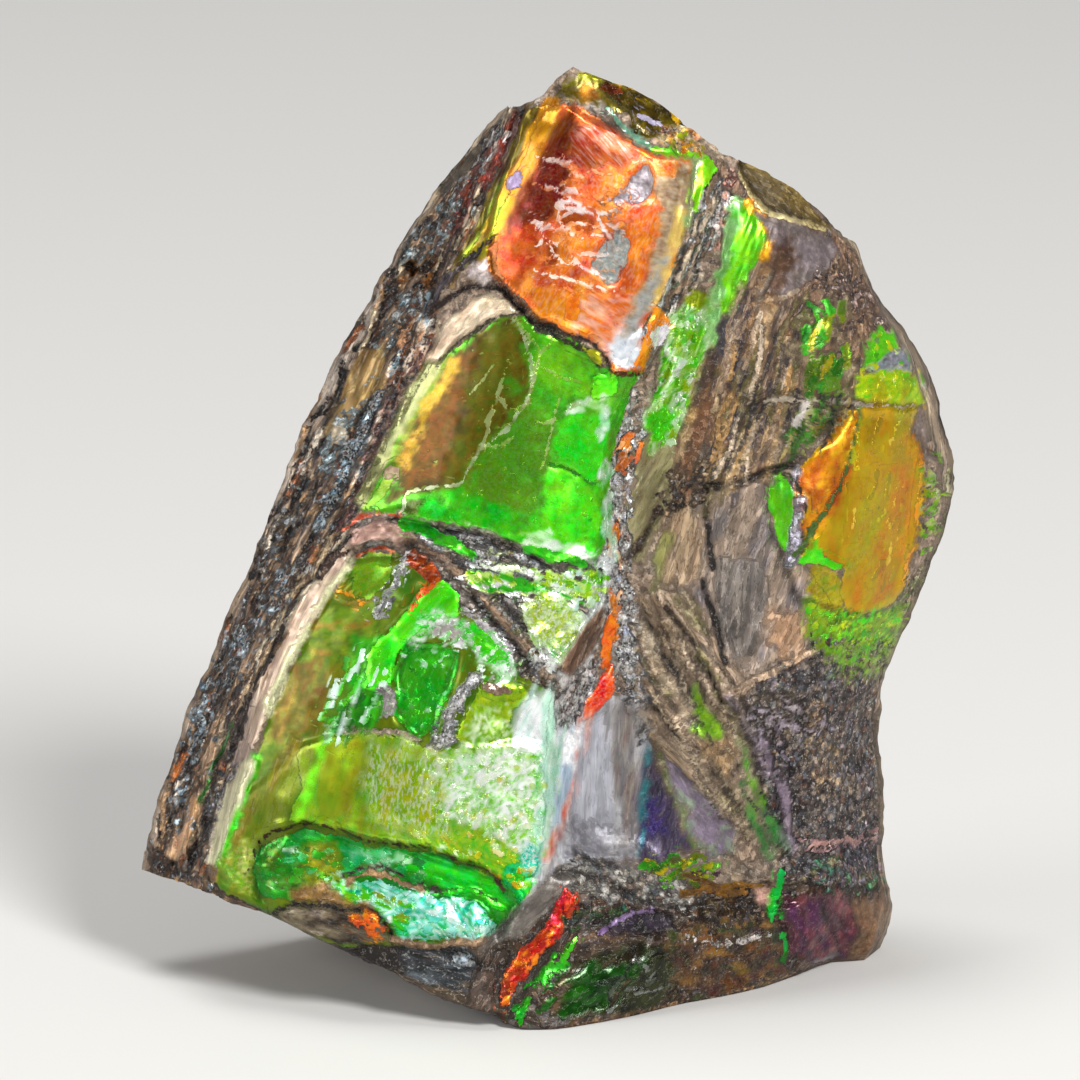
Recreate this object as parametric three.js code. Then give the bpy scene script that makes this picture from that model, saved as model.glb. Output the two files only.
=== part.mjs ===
// Ammolite specimen: one broken piece of a fossil ammonite's shell on its shale, standing on a flat foot.
// Millimetres, +Z up, front toward -Y, origin under the middle of the piece at the level it rests on.
// The front is laid out on a sheet that leans back: s goes across it, t up it and d out of it.
import * as THREE from "three";
import { mergeVertices } from "three/addons/utils/BufferGeometryUtils.js";

const sheetLean = THREE.MathUtils.degToRad(15);
const middle = { x: 0.1, y: 4.7 }; // the middle of the piece seen from above, before it moves to the origin
const cellsUp = 46;
const cellsDeep = 7;
const weldDistance = 1e-4;
const shaleColor = 0x6f6254;

// Lines that run up the front, each a list of [s, t, d], foot first.
const leftRim = [
  [-24.1, 6.8, -3.0], [-23.3, 10.2, -2.7], [-22.0, 14.0, -2.2], [-20.2, 18.4, -1.8],
  [-18.5, 22.6, -1.3], [-17.0, 26.4, -0.8], [-14.8, 31.4, 0.2], [-11.8, 37.8, 1.0],
  [-8.8, 43.3, 1.6], [-6.5, 47.1, 1.9], [-4.7, 49.3, 2.1], [-2.8, 51.6, 2.3],
];
const shellEdge = [
  [-19.1, 5.5, 4.5], [-18.3, 11.1, 4.7], [-16.7, 16.3, 5.0], [-14.5, 21.7, 5.2], [-11.4, 27.3, 5.5],
  [-8.1, 33.4, 5.8], [-6.2, 38.0, 6.0], [-4.6, 42.7, 6.2], [-2.7, 48.4, 6.4], [-1.9, 51.7, 6.4],
];
const ridgeCrest = [
  [-6.2, -0.6, 7.6], [-6.7, 3.4, 8.3], [-6.8, 7.6, 8.8], [-5.4, 14.6, 9.0], [-3.3, 22.8, 9.0],
  [-1.5, 31.7, 8.8], [0.2, 38.7, 8.6], [1.5, 46.4, 8.3], [2.0, 51.1, 7.9], [1.6, 54.0, 7.2],
];
const ridgeFlank = [
  [-0.4, -2.3, 8.7], [-0.8, 3.4, 8.4], [0.0, 9.3, 8.0], [0.4, 17.0, 7.9], [2.6, 22.8, 7.7],
  [3.5, 31.7, 7.5], [5.8, 37.8, 7.3], [8.5, 44.6, 7.0], [9.1, 48.4, 6.4], [8.5, 50.6, 5.8],
];
const valley = [
  [3.2, -1.9, 7.1], [3.9, 3.4, 7.6], [3.9, 6.8, 7.2], [3.1, 8.6, 4.4], [3.2, 12.3, 4.7], [3.8, 17.0, 5.1],
  [4.8, 22.8, 5.4], [5.1, 27.0, 5.5], [5.8, 32.3, 5.7], [7.9, 38.1, 5.9], [10.5, 44.6, 5.9], [11.2, 48.6, 5.0],
];
const fan = [
  [8.2, -0.9, 3.3], [8.5, 2.8, 5.0], [7.9, 5.5, 5.4], [8.1, 7.2, 3.4], [8.5, 11.1, 4.2], [10.4, 17.0, 5.8],
  [9.2, 22.3, 5.6], [8.8, 27.6, 6.1], [10.4, 33.4, 6.6], [11.9, 38.7, 6.6], [13.5, 43.7, 5.6], [14.2, 47.3, 4.4],
];
const shoulder = [
  [14.1, 0.4, -1.2], [14.2, 3.1, 1.2], [14.2, 5.2, 1.9], [14.5, 7.2, 0.1], [14.9, 12.3, 0.8], [15.0, 19.3, 3.3],
  [14.6, 25.2, 4.3], [14.4, 30.2, 5.0], [14.4, 34.6, 5.2], [15.6, 39.9, 4.4], [16.6, 42.7, 3.3], [16.4, 45.3, 2.4],
];
const rightRim = [
  [19.9, 2.1, -8.0], [20.6, 4.9, -6.8], [20.3, 7.0, -6.4], [20.2, 11.7, -6.0], [20.0, 14.3, -5.5],
  [20.4, 19.0, -4.2], [21.9, 23.1, -3.6], [23.5, 26.1, -3.2], [24.0, 29.3, -2.8], [24.1, 32.3, -2.6],
  [22.9, 35.8, -2.2], [21.1, 38.7, -1.5], [18.9, 42.0, 0.0], [18.2, 43.7, 0.8],
];

// The front's lower edge as [x, y, z]: it overhangs on the left and touches the ground on the right.
const footEdge = [
  [-24.1, 4.7, 5.8], [-22.1, 2.6, 5.9], [-20.6, 0.1, 6.3], [-19.1, -2.9, 6.4], [-17.4, -3.6, 6.0],
  [-15.9, -4.2, 5.3], [-12.7, -5.4, 3.9], [-9.2, -6.5, 2.7], [-6.2, -7.5, 1.4], [-3.0, -8.4, 0.4],
  [-1.2, -9.0, 0], [0.8, -8.8, 0], [3.2, -7.4, 0], [5.5, -5.8, 0], [7.9, -3.6, 0], [10.2, -2.2, 0],
  [12.6, -0.4, 0], [14.9, 2.4, 0], [16.7, 5.1, 0], [18.9, 5.5, 0], [19.9, 8.2, 0],
];
// The front's upper edge as [s, t].
const topEdge = [
  [-2.7, 51.6], [-1.4, 51.9], [-0.2, 52.4], [0.6, 53.3], [1.6, 54.1], [3.8, 53.2], [5.5, 52.8], [7.9, 51.1],
  [10.2, 49.1], [12.9, 48.1], [14.4, 47.3], [17.0, 44.7], [18.2, 43.7],
];
const edgeFade = 0.12; // share of the height over which the lines give way to these two edges

// Lines that run up the back, each a list of [x, y, z], foot first, with their places across it.
const backLines = [
  { at: 0, line: [[-19, 12, 5], [-16, 14, 14], [-10, 15, 28], [-5.5, 14, 39], [-3, 12.5, 47.5]] },
  { at: 0.28, line: [[-12.5, 14, 0], [-11, 16.5, 13], [-5, 17.5, 27], [-2, 16, 39.5], [-0.5, 13.5, 49]] },
  { at: 0.62, line: [[2, 14.5, 0], [3, 17.5, 13], [6, 17.5, 27], [7, 16, 38], [6.5, 14, 46.5]] },
  { at: 1, line: [[17.5, 13.5, 0], [17.5, 15.5, 12], [20, 16.5, 24], [19.5, 16.5, 30], [15.5, 15.5, 38]] },
];

// Flat breaks that cut the back: an outward direction and the distance that it leaves.
const breaks = [
  { out: new THREE.Vector3(0.55, 0.8, 0.25), reach: 28.5 },
  { out: new THREE.Vector3(-0.3, 0.85, 0.43), reach: 28.5 },
  { out: new THREE.Vector3(-0.45, 0.88, -0.15), reach: 15.5 },
  { out: new THREE.Vector3(0.35, 0.9, -0.25), reach: 17 },
  { out: new THREE.Vector3(0.25, 0.45, 0.86), reach: 49.8 },
];
const backTerraces = { height: 1.7, riser: [0.3, 0.7] }; // steps that the shale's layers leave on the back

// Plates that stand proud of the front and chips that lie below it: an outline on the sheet and a height.
const plates = [
  {
    height: 0.7, // the topmost sheet of shell, broken off along its lower edge
    outline: [
      [-1.5, 51.7], [3.2, 51.1], [6.7, 49.0], [8.8, 48.4], [7.8, 43.0], [5.8, 38.1], [6.1, 36.4], [3.6, 36.6],
      [2.4, 38.2], [-0.5, 39.4], [-2.5, 41.3], [-4.6, 42.7], [-3.3, 46.4],
    ],
  },
  {
    height: -1.0, // the hollow where the sheet above it ends in a lip
    outline: [
      [-17.3, 7.3], [-15.5, 9.4], [-12.2, 9.4], [-8.2, 8.6], [-4.5, 7.6], [-0.6, 5.7], [-1.6, 1.7],
      [-2.7, -2.3], [-6.2, -2], [-12.7, 1], [-16.2, 3.9],
    ],
  },
  {
    height: -1.4, // the bare shale under the hollow
    outline: [
      [-16.2, 4.0], [-13.3, 2.7], [-10.2, 3.1], [-6.8, 3.2], [-3.8, 2.5], [-2.4, 3.9], [-1.5, 1.7],
      [-2.7, -2.3], [-6.2, -2], [-12.7, 1],
    ],
  },
  {
    height: 0.6, // the orange and yellow patch near the right rim
    outline: [
      [16.6, 34.1], [21.8, 34.1], [22.3, 30.7], [22.0, 26.7], [21.0, 22.8], [17.8, 22.2], [17.6, 24.7],
      [15.9, 26.3], [14.4, 25.2], [13.2, 28.2], [13.2, 30.2], [15.6, 31.3],
    ],
  },
  {
    height: 0.5, // the slab of shale above the white vein
    outline: [
      [11.7, 34.6], [21.6, 34.4], [22.6, 35.8], [21.1, 38.7], [18.9, 41.6], [14.4, 41.3], [12.4, 40.4],
    ],
  },
  {
    height: -0.9, // the fractured belt across the ridge
    outline: [
      [-11.5, 27.3], [-8.5, 27.9], [-4.5, 25.9], [0.8, 24.9], [3.2, 26.1], [3.2, 22.8], [0.8, 19.3],
      [-0.4, 19.6], [-2.7, 22.3], [-5.4, 24.9], [-8.6, 24.3], [-11.8, 23.4],
    ],
  },
  {
    height: -0.6, // the green bowl below the belt
    outline: [[-8.6, 20.5], [-5.2, 19.9], [-5.4, 17.0], [-6.5, 15.1], [-8.0, 15.0], [-9.1, 17.0]],
  },
  {
    height: -0.9, // the glassy chip beside the peak
    outline: [[3.3, 53.6], [6.1, 53.3], [8.6, 50.9], [7.5, 50.0], [5.5, 50.0], [3.8, 52.0]],
  },
  {
    height: -0.9, // the crescent chip on the upper right
    outline: [[10.9, 49.3], [13.2, 48.9], [15.5, 47.1], [17.0, 45.1], [14.6, 45.3], [12.1, 46.7]],
  },
];
const plateSlope = 1.1; // width of the slope at a plate's edge

// Ribs where the shale splits in a fan right of the valley: a line on the sheet, a height and a width.
const ribs = [
  { height: 0.7, width: 1.5, path: [[7.3, 23.1], [10.5, 17.4]] },
  { height: 0.6, width: 1.5, path: [[6.5, 17.4], [11.1, 9.9]] },
  { height: 0.7, width: 1.5, path: [[10.5, 17.4], [15.0, 19.0]] },
];

// Grooves along the layered strip, by their place across it.
const stripGrooves = [
  { at: 0.28, depth: 0.7, width: 0.1 },
  { at: 0.62, depth: 0.5, width: 0.09 },
];
const grooveWander = { reach: 0.06, turns: 3 }; // how far the grooves sway, and how often from foot to top

// Lumps of the rough surface: the coarse ones with the fine ones on them.
const lumps = [
  { size: 6.5, height: 0.45 },
  { size: 2.6, height: 0.22 },
];
const shellLumps = 0.2; // how much of them the smooth shell keeps
const groundLevel = 0.02; // below this a corner belongs to the flat foot

const noiseSpread = new THREE.Vector3(127.1, 311.7, 74.7);
const noiseScatter = 43758.5453;

const toFront = new THREE.Vector3(0, -Math.cos(sheetLean), Math.sin(sheetLean));
const upSheet = new THREE.Vector3(0, Math.sin(sheetLean), Math.cos(sheetLean));

// How depth passes from one line of the front to the next.
const straight = (f) => f;
const swelling = (f) => Math.sin((f * Math.PI) / 2);
const falling = (f) => 1 - Math.cos((f * Math.PI) / 2);

const frontSpans = [
  { from: leftRim, to: shellEdge, cells: 6, depth: straight },
  { from: shellEdge, to: ridgeCrest, cells: 8, depth: swelling },
  { from: ridgeCrest, to: ridgeFlank, cells: 6, depth: falling },
  { from: ridgeFlank, to: valley, cells: 4, depth: swelling },
  { from: valley, to: fan, cells: 5, depth: straight },
  { from: fan, to: shoulder, cells: 5, depth: straight },
  { from: shoulder, to: rightRim, cells: 6, depth: falling },
];
const cellsAcross = frontSpans.reduce((sum, span) => sum + span.cells, 0);
const shellSpans = [1, 2]; // the spans that the smooth shell covers

const curves = new Map();
function pointOn(line, share) {
  if (!curves.has(line)) {
    const points = line.map((p) => new THREE.Vector3(...p));
    curves.set(line, new THREE.CatmullRomCurve3(points, false, "centripetal"));
  }
  return curves.get(line).getPointAt(share);
}

// The value of a polyline given as [place, value, value...] rows, at a place along it.
function along(rows, place) {
  const next = rows.findIndex((row) => row[0] > place);
  if (next === 0) return rows[0].slice(1);
  if (next < 0) return rows[rows.length - 1].slice(1);
  const [low, high] = [rows[next - 1], rows[next]];
  const f = (place - low[0]) / (high[0] - low[0]);
  return low.slice(1).map((value, i) => THREE.MathUtils.lerp(value, high[i + 1], f));
}

// Distance from a point of the sheet to the stretch between two others.
function distanceTo([s0, t0], [s1, t1], s, t) {
  const [ds, dt] = [s1 - s0, t1 - t0];
  const f = THREE.MathUtils.clamp(((s - s0) * ds + (t - t0) * dt) / (ds * ds + dt * dt), 0, 1);
  return Math.hypot(s - s0 - f * ds, t - t0 - f * dt);
}

// Distance from a point of the sheet into an outline, negative outside it.
function depthInside(outline, s, t) {
  let nearest = Infinity;
  let inside = false;
  outline.forEach((end, i) => {
    const start = outline.at(i - 1);
    nearest = Math.min(nearest, distanceTo(start, end, s, t));
    const crossing = start[0] + ((end[0] - start[0]) * (t - start[1])) / (end[1] - start[1]);
    if (start[1] > t !== end[1] > t && s < crossing) inside = !inside;
  });
  return inside ? nearest : -nearest;
}

// A repeatable number from 0 to 1 for a corner of the noise grid.
function cornerValue(i, j, k) {
  const mixed = Math.sin(new THREE.Vector3(i, j, k).dot(noiseSpread)) * noiseScatter;
  return mixed - Math.floor(mixed);
}

// Smooth noise from -1 to 1.
function noise(p) {
  const cell = [p.x, p.y, p.z].map(Math.floor);
  const f = [p.x - cell[0], p.y - cell[1], p.z - cell[2]].map((a) => a * a * (3 - 2 * a));
  let sum = 0;
  for (const i of [0, 1])
    for (const j of [0, 1])
      for (const k of [0, 1]) {
        const share = (i ? f[0] : 1 - f[0]) * (j ? f[1] : 1 - f[1]) * (k ? f[2] : 1 - f[2]);
        sum += share * cornerValue(cell[0] + i, cell[1] + j, cell[2] + k);
      }
  return 2 * sum - 1;
}

function spanAt(u) {
  let cell = u * cellsAcross;
  let index = 0;
  while (index < frontSpans.length - 1 && cell > frontSpans[index].cells) {
    cell -= frontSpans[index].cells;
    index += 1;
  }
  return { index, f: Math.min(cell / frontSpans[index].cells, 1) };
}

function stripRelief(f, v) {
  const wander = grooveWander.reach * Math.sin(2 * Math.PI * grooveWander.turns * v);
  return stripGrooves.reduce((sum, groove) => {
    const off = (f - groove.at - wander) / groove.width;
    return sum - groove.depth * Math.exp(-off * off);
  }, 0);
}

// The front's lines joined up: a place on the sheet as { s, t, d }.
function loft(u, v) {
  const { index, f } = spanAt(u);
  const span = frontSpans[index];
  const [from, to] = [pointOn(span.from, v), pointOn(span.to, v)];
  return {
    s: THREE.MathUtils.lerp(from.x, to.x, f),
    t: THREE.MathUtils.lerp(from.y, to.y, f),
    d: THREE.MathUtils.lerp(from.z, to.z, span.depth(f)) + (index === 0 ? stripRelief(f, v) : 0),
  };
}

function plateRelief(s, t) {
  const plateSum = plates.reduce((sum, { height, outline }) => {
    return sum + height * THREE.MathUtils.smoothstep(depthInside(outline, s, t), -plateSlope / 2, plateSlope / 2);
  }, 0);
  return ribs.reduce((sum, { height, width, path }) => {
    return sum + height * THREE.MathUtils.smoothstep(-distanceTo(path[0], path[1], s, t), -width, 0);
  }, plateSum);
}

function inSpace({ s, t, d }) {
  return new THREE.Vector3(s, 0, 0).addScaledVector(upSheet, t).addScaledVector(toFront, d);
}

function frontPoint(u, v) {
  const place = loft(u, v);
  place.d += plateRelief(place.s, place.t);
  const topShare = Math.max(0, 1 - (1 - v) / edgeFade);
  const top = loft(u, 1);
  place.t += topShare * (along(topEdge, top.s)[0] - top.t);
  const footShare = Math.max(0, 1 - v / edgeFade);
  const foot = loft(u, 0);
  foot.d += plateRelief(foot.s, foot.t);
  const [y, z] = along(footEdge, foot.s);
  return inSpace(place).addScaledVector(new THREE.Vector3(foot.s, y, z).sub(inSpace(foot)), footShare);
}

function backPoint(u, v) {
  const next = Math.max(1, backLines.findIndex((line) => line.at >= u));
  const [low, high] = [backLines[next - 1], backLines[next]];
  const f = THREE.MathUtils.smoothstep(u, low.at, high.at);
  const point = pointOn(low.line, v).lerp(pointOn(high.line, v), f);
  const level = point.y / backTerraces.height + noise(point.clone().divideScalar(lumps[0].size));
  const stepped = Math.floor(level) + THREE.MathUtils.smoothstep(level % 1, ...backTerraces.riser);
  point.y += (stepped - level) * backTerraces.height;
  return point;
}

function cutByBreaks(point) {
  for (const { out, reach } of breaks) {
    const over = point.dot(out) / out.length() - reach;
    if (over > 0) point.addScaledVector(out, -over / out.length());
  }
}

function makeSpecimen() {
  const box = new THREE.BoxGeometry(1, 1, 1, cellsAcross, cellsDeep, cellsUp);
  box.deleteAttribute("normal");
  box.deleteAttribute("uv");
  const geometry = mergeVertices(box, weldDistance);
  const corners = geometry.getAttribute("position");
  const isShell = [];
  for (let i = 0; i < corners.count; i += 1) {
    const u = corners.getX(i) + 0.5;
    const w = corners.getY(i) + 0.5;
    const v = corners.getZ(i) + 0.5;
    const point = frontPoint(u, v).lerp(backPoint(u, v), w);
    if (w > 0) cutByBreaks(point);
    corners.setXYZ(i, point.x, point.y, Math.max(point.z, 0));
    isShell.push(w === 0 && shellSpans.includes(spanAt(u).index));
  }
  geometry.computeVertexNormals();
  const normals = geometry.getAttribute("normal");
  for (let i = 0; i < corners.count; i += 1) {
    const point = new THREE.Vector3().fromBufferAttribute(corners, i);
    if (point.z < groundLevel) continue;
    const normal = new THREE.Vector3().fromBufferAttribute(normals, i);
    const share = isShell[i] ? shellLumps : 1;
    for (const lump of lumps) {
      point.addScaledVector(normal, share * lump.height * noise(point.clone().divideScalar(lump.size)));
    }
    corners.setXYZ(i, point.x, point.y, Math.max(point.z, 0));
  }
  geometry.computeVertexNormals();
  return geometry;
}

const shale = new THREE.MeshStandardMaterial({
  name: "shale_and_shell",
  color: shaleColor,
  roughness: 0.6,
  metalness: 0,
});

const specimen = new THREE.Mesh(makeSpecimen(), shale);
specimen.name = "ammolite_specimen";
specimen.position.set(-middle.x, -middle.y, 0);

const model = new THREE.Group();
model.add(specimen);

export default model;
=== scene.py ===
import functools
import itertools
import math

import bmesh
import bpy
import numpy
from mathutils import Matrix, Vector


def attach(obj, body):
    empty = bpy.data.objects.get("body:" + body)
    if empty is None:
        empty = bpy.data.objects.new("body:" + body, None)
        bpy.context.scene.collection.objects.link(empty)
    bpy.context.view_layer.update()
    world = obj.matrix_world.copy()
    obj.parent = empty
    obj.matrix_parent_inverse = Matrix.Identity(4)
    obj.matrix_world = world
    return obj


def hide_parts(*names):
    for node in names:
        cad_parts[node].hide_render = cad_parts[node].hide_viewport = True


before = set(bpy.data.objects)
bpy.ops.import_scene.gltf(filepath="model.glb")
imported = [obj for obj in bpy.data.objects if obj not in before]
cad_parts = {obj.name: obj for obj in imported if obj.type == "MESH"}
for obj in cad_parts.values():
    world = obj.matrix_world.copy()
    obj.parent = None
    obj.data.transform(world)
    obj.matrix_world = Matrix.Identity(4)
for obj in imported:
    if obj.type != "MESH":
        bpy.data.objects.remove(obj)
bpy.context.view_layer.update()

# Ammolite specimen: a broken piece of fossil ammonite, its iridescent shell lying on brown shale.
mm = 0.001

# The front is drawn on a sheet that leans back as the piece does: units count right and down from its
# upper left corner, 17 to the millimetre.
sheet = {
    "lean": math.radians(15),
    "unitsPerMm": 17,
    "side": 1080,
    "footAcross": 546,  # where the sheet's zero lies, in units
    "footDown": 988.4,
    "middle": (0.1, 4.7),  # mm that the piece was moved by to stand over the origin
}
toFront = numpy.array([0, -math.cos(sheet["lean"]), math.sin(sheet["lean"])])
upSheet = numpy.array([0, math.sin(sheet["lean"]), math.cos(sheet["lean"])])

# How each kind of surface shines: shell 0 to 1, roughness, grit of specks and pits, frost of fine white
# scratches, which on frosted and powdered patches also serves as painted highlight.
finishes = {
    "shale": (0.0, 0.62, 0.18, 0.0),
    "layered": (0.05, 0.48, 0.5, 0.0),
    "grainy": (0.0, 0.55, 0.7, 0.0),
    "crystal": (0.25, 0.25, 1.0, 0.25),
    "glassy": (0.45, 0.14, 0.05, 0.0),
    "shell": (1.0, 0.28, 0.05, 0.03),
    "scratched": (0.9, 0.34, 0.10, 0.1),
    "frosted": (1.0, 0.26, 0.20, 0.75),
    "satin": (0.6, 0.36, 0.10, 0.03),
    "powdered": (1.0, 0.3, 0.15, 0.5),
    "smooth": (0.6, 0.5, 0.03, 0.0),
    "silky": (1.0, 0.4, 0.02, 0.0),
    "banded": (0.15, 0.55, 0.08, 0.0),
}

# What a patch has where it doesn't say otherwise.
plainPatch = {
    "size": 0.9,  # of its mottling, in mm
    "grain": 0,  # the way its streaks run, in degrees, or "strip" for along the layered strip
    "stretch": 1,  # of its mottling along the grain: 1 is round, 0.1 long
    "lift": 0,  # mm that it stands out
    "relief": 0,  # mm that its mottling stands out
    "edge": 3.2,  # units over which its step rises
    "blur": 1.8,  # units over which its colours pass into those round it
    "share": 1,  # of its colours over what lies under them
    "crevice": 0.2,  # how dark the painted shade line around it is
}
feathered = {"shale": 4, "layered": 4, "grainy": 5, "satin": 3.5, "crystal": 3}  # blur of stony patches
thinStroke = 7.5  # units; narrower strokes stay crisp

# How strewn pieces vary.
strewn = {
    "bend": 0.12,  # of a splinter, as a share of its half length
    "sides": (4, 7),  # a chip has 4 to 6
    "uneven": 0.3,  # how far a chip's corners stray round it, as a share of a side
    "reach": (0.7, 1.1),  # from a chip's middle to its corners, as a share of half its size
}


def placesOf(line):
    # an outline or a path, either written as "across,down across,down" or already a list of places
    if isinstance(line, str):
        return [tuple(map(float, place.split(","))) for place in line.split()]
    return line


def area(outline, tints, finish="shell", **more):
    shape = {"blur": feathered.get(finish, plainPatch["blur"]), "outline": placesOf(outline)}
    return {**plainPatch, **shape, "tints": tints, "finish": finish, **more}


def stroke(path, width, tints, finish="shell", **more):
    blur = plainPatch["blur"] if width < thinStroke else feathered.get(finish, plainPatch["blur"])
    shape = {"blur": blur, "path": placesOf(path), "width": width}
    return {**plainPatch, **shape, "tints": tints, "finish": finish, **more}


def spot(place, reach, tints, finish="shell", turn=0, **more):
    shape = {"place": place, "reach": reach, "turn": turn}
    return {**plainPatch, **shape, "tints": tints, "finish": finish, **more}


# The line between the layered strip and the shell, foot first, and all that lies right of it.
guideEdge = placesOf("222,895 235,800 262,712 300,620 352,525 408,420 440,342 468,262 500,165 514,109 560,20")
rightOfGuide = guideEdge + [(1100, 100), (1100, 1100)]


def distanceToPath(points, path):
    nearest = numpy.full(len(points), numpy.inf)
    for start, end in zip(path[:-1], path[1:]):
        off = points - start
        run = numpy.subtract(end, start)
        share = numpy.clip(off @ run / (run @ run), 0, 1)
        nearest = numpy.minimum(nearest, numpy.linalg.norm(off - share[:, None] * run, axis=1))
    return nearest


def depthInside(points, outline):
    # distance into a closed outline, negative outside it
    closed = outline + outline[:1]
    inside = numpy.zeros(len(points), bool)
    x, y = points.T
    for (x0, y0), (x1, y1) in zip(closed[:-1], closed[1:]):
        if y0 != y1:
            inside ^= ((y0 > y) != (y1 > y)) & (x < x0 + (x1 - x0) * (y - y0) / (y1 - y0))
    distance = distanceToPath(points, closed)
    return numpy.where(inside, distance, -distance)


def runOf(path, place):
    # the way, in degrees, that the stretch of a path nearest to a place runs
    spans = list(zip(path[:-1], path[1:]))
    start, end = min(spans, key=lambda span: distanceToPath(numpy.array([place]), list(span))[0])
    return math.degrees(math.atan2(start[1] - end[1], end[0] - start[0]))


def strew(outline, count, seed, makeOne):
    random = numpy.random.default_rng(seed)
    outline = placesOf(outline)
    low, high = numpy.min(outline, axis=0), numpy.max(outline, axis=0)
    pieces = []
    while len(pieces) < count:
        place = random.uniform(low, high)
        if depthInside(place[None], outline)[0] > 0:
            pieces.append(makeOne(random, place))
    return pieces


def splinters(outline, count, length, width, tints, seed, finish="shell", grain=0, swing=7, **more):
    # short bent strokes strewn over an outline along the grain
    def makeOne(random, place):
        along = runOf(guideEdge, place) if grain == "strip" else grain
        turn = math.radians(along + random.normal(0, swing))
        half = random.uniform(*length) / 2 * numpy.array([math.cos(turn), -math.sin(turn)])
        bend = random.normal(0, strewn["bend"]) * numpy.array([half[1], -half[0]])
        path = [tuple(place - half), tuple(place + bend), tuple(place + half)]
        tint = random.choice(tints.split())
        return stroke(path, random.uniform(*width), tint, finish, **{"grain": grain, "crevice": 0, **more})
    return strew(outline, count, seed, makeOne)


def chips(outline, count, size, tints, seed, finish="shell", grain=0, long=1, **more):
    # small pieces strewn over an outline, crisp whatever their finish
    def makeOne(random, place):
        turn = math.radians(runOf(guideEdge, place) if grain == "strip" else grain)
        turned = numpy.array([[math.cos(turn), -math.sin(turn)], [math.sin(turn), math.cos(turn)]])
        sides = random.integers(*strewn["sides"])
        stray = random.uniform(-strewn["uneven"], strewn["uneven"], sides)
        angles = 2 * math.pi * (numpy.arange(sides) + stray) / sides
        reach = random.uniform(*size) / 2 * random.uniform(*strewn["reach"], sides)
        spokes = numpy.stack([numpy.cos(angles) * reach * long, numpy.sin(angles) * reach], axis=1)
        tint = " ".join(random.choice(tints.split(), 2))
        points = [tuple(point) for point in place + spokes @ turned]
        return area(points, tint, finish, **{"grain": grain, "blur": plainPatch["blur"], **more})
    return strew(outline, count, seed, makeOne)


# The shale that the rest lies on.
shaleFront = {
    "ground": area("60,20 1020,20 1020,1060 60,1060", "#5A4A3C #7A6858 #8A7868 #6A5A4C #9A8872", "shale",
        size=1.6, relief=0.1),
    "upperRight": area("716,160 800,195 870,262 915,330 950,400 900,410 800,402 760,480 700,500 655,520 "
        "672,440 700,340 722,250", "#2A2220 #5C4636 #7A5E48 #382C28 #8C7258 #4E3A30", "shale", size=0.42,
        grain=69, stretch=0.09, relief=0.14),
    "middleRight": area("690,495 760,478 800,560 830,600 835,650 760,690 730,690 700,640 680,590 672,540",
        "#645C58 #7E6E60 #8E7C6C #6C6464 #9A8876", "banded", size=1.2, grain=70, stretch=0.25, relief=0.12),
    "slate": area("712,560 760,560 768,600 760,655 735,660 712,620", "#56504E #6C6660 #767070", "banded",
        size=1.0, share=0.8, blur=6, grain=82, stretch=0.25),
    "tanBench": area("690,500 706,560 700,580 678,590 660,570 668,520", "#8A725C #A08A70 #7A6450", "banded",
        size=0.8, blur=6, grain=76, stretch=0.2),
    "fanField": area("640,590 690,590 740,680 800,740 800,860 735,860 700,800 655,740 640,680",
        "#42352C #786453 #98836D #5C4A40 #B29F87", "shale", size=0.5, grain=-58, stretch=0.12, relief=0.26),
    "darkField": area("742,690 800,655 850,655 900,670 902,880 850,900 790,880 765,800 745,740",
        "#272125 #4F4749 #322B2F #73675E #3E383C #93826F", "grainy", size=0.5, relief=0.2),
    "darkFieldTan": area("745,690 800,700 830,720 860,790 850,800 800,750 760,730", "#6A5C50 #8C7A66",
        "grainy", size=0.6, share=0.55, blur=8),
    "rightEdge": area("872,640 906,620 900,950 875,900 880,760", "#6A6058 #A08C74 #8A7A6A", "grainy",
        size=0.5, share=0.8, blur=5),
    "footLedge": area("545,870 581,863 611,866 654,878 690,886 760,884 860,892 910,890 915,975 800,990 "
        "600,1045 470,1040 420,1000 480,940 525,905", "#231B16 #4B3A2A #2F231E #664C34 #3D2F27", "layered",
        size=0.9, grain=20, stretch=0.5, relief=0.28),
    "footTop": area("560,858 611,862 654,874 690,880 690,905 650,905 600,895 560,885",
        "#5E5A54 #908A7D #79756F #A7A192", "grainy", size=0.4, relief=0.12, blur=4),
    "leftFoot": area("130,860 200,870 270,905 330,900 390,935 470,945 500,930 530,900 545,880 540,1040 "
        "420,1020 250,930 130,890", "#1D1612 #3D3127 #584938 #2B221D #685845", "layered", size=0.8, grain=-20,
        stretch=0.3, relief=0.2),
}

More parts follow.
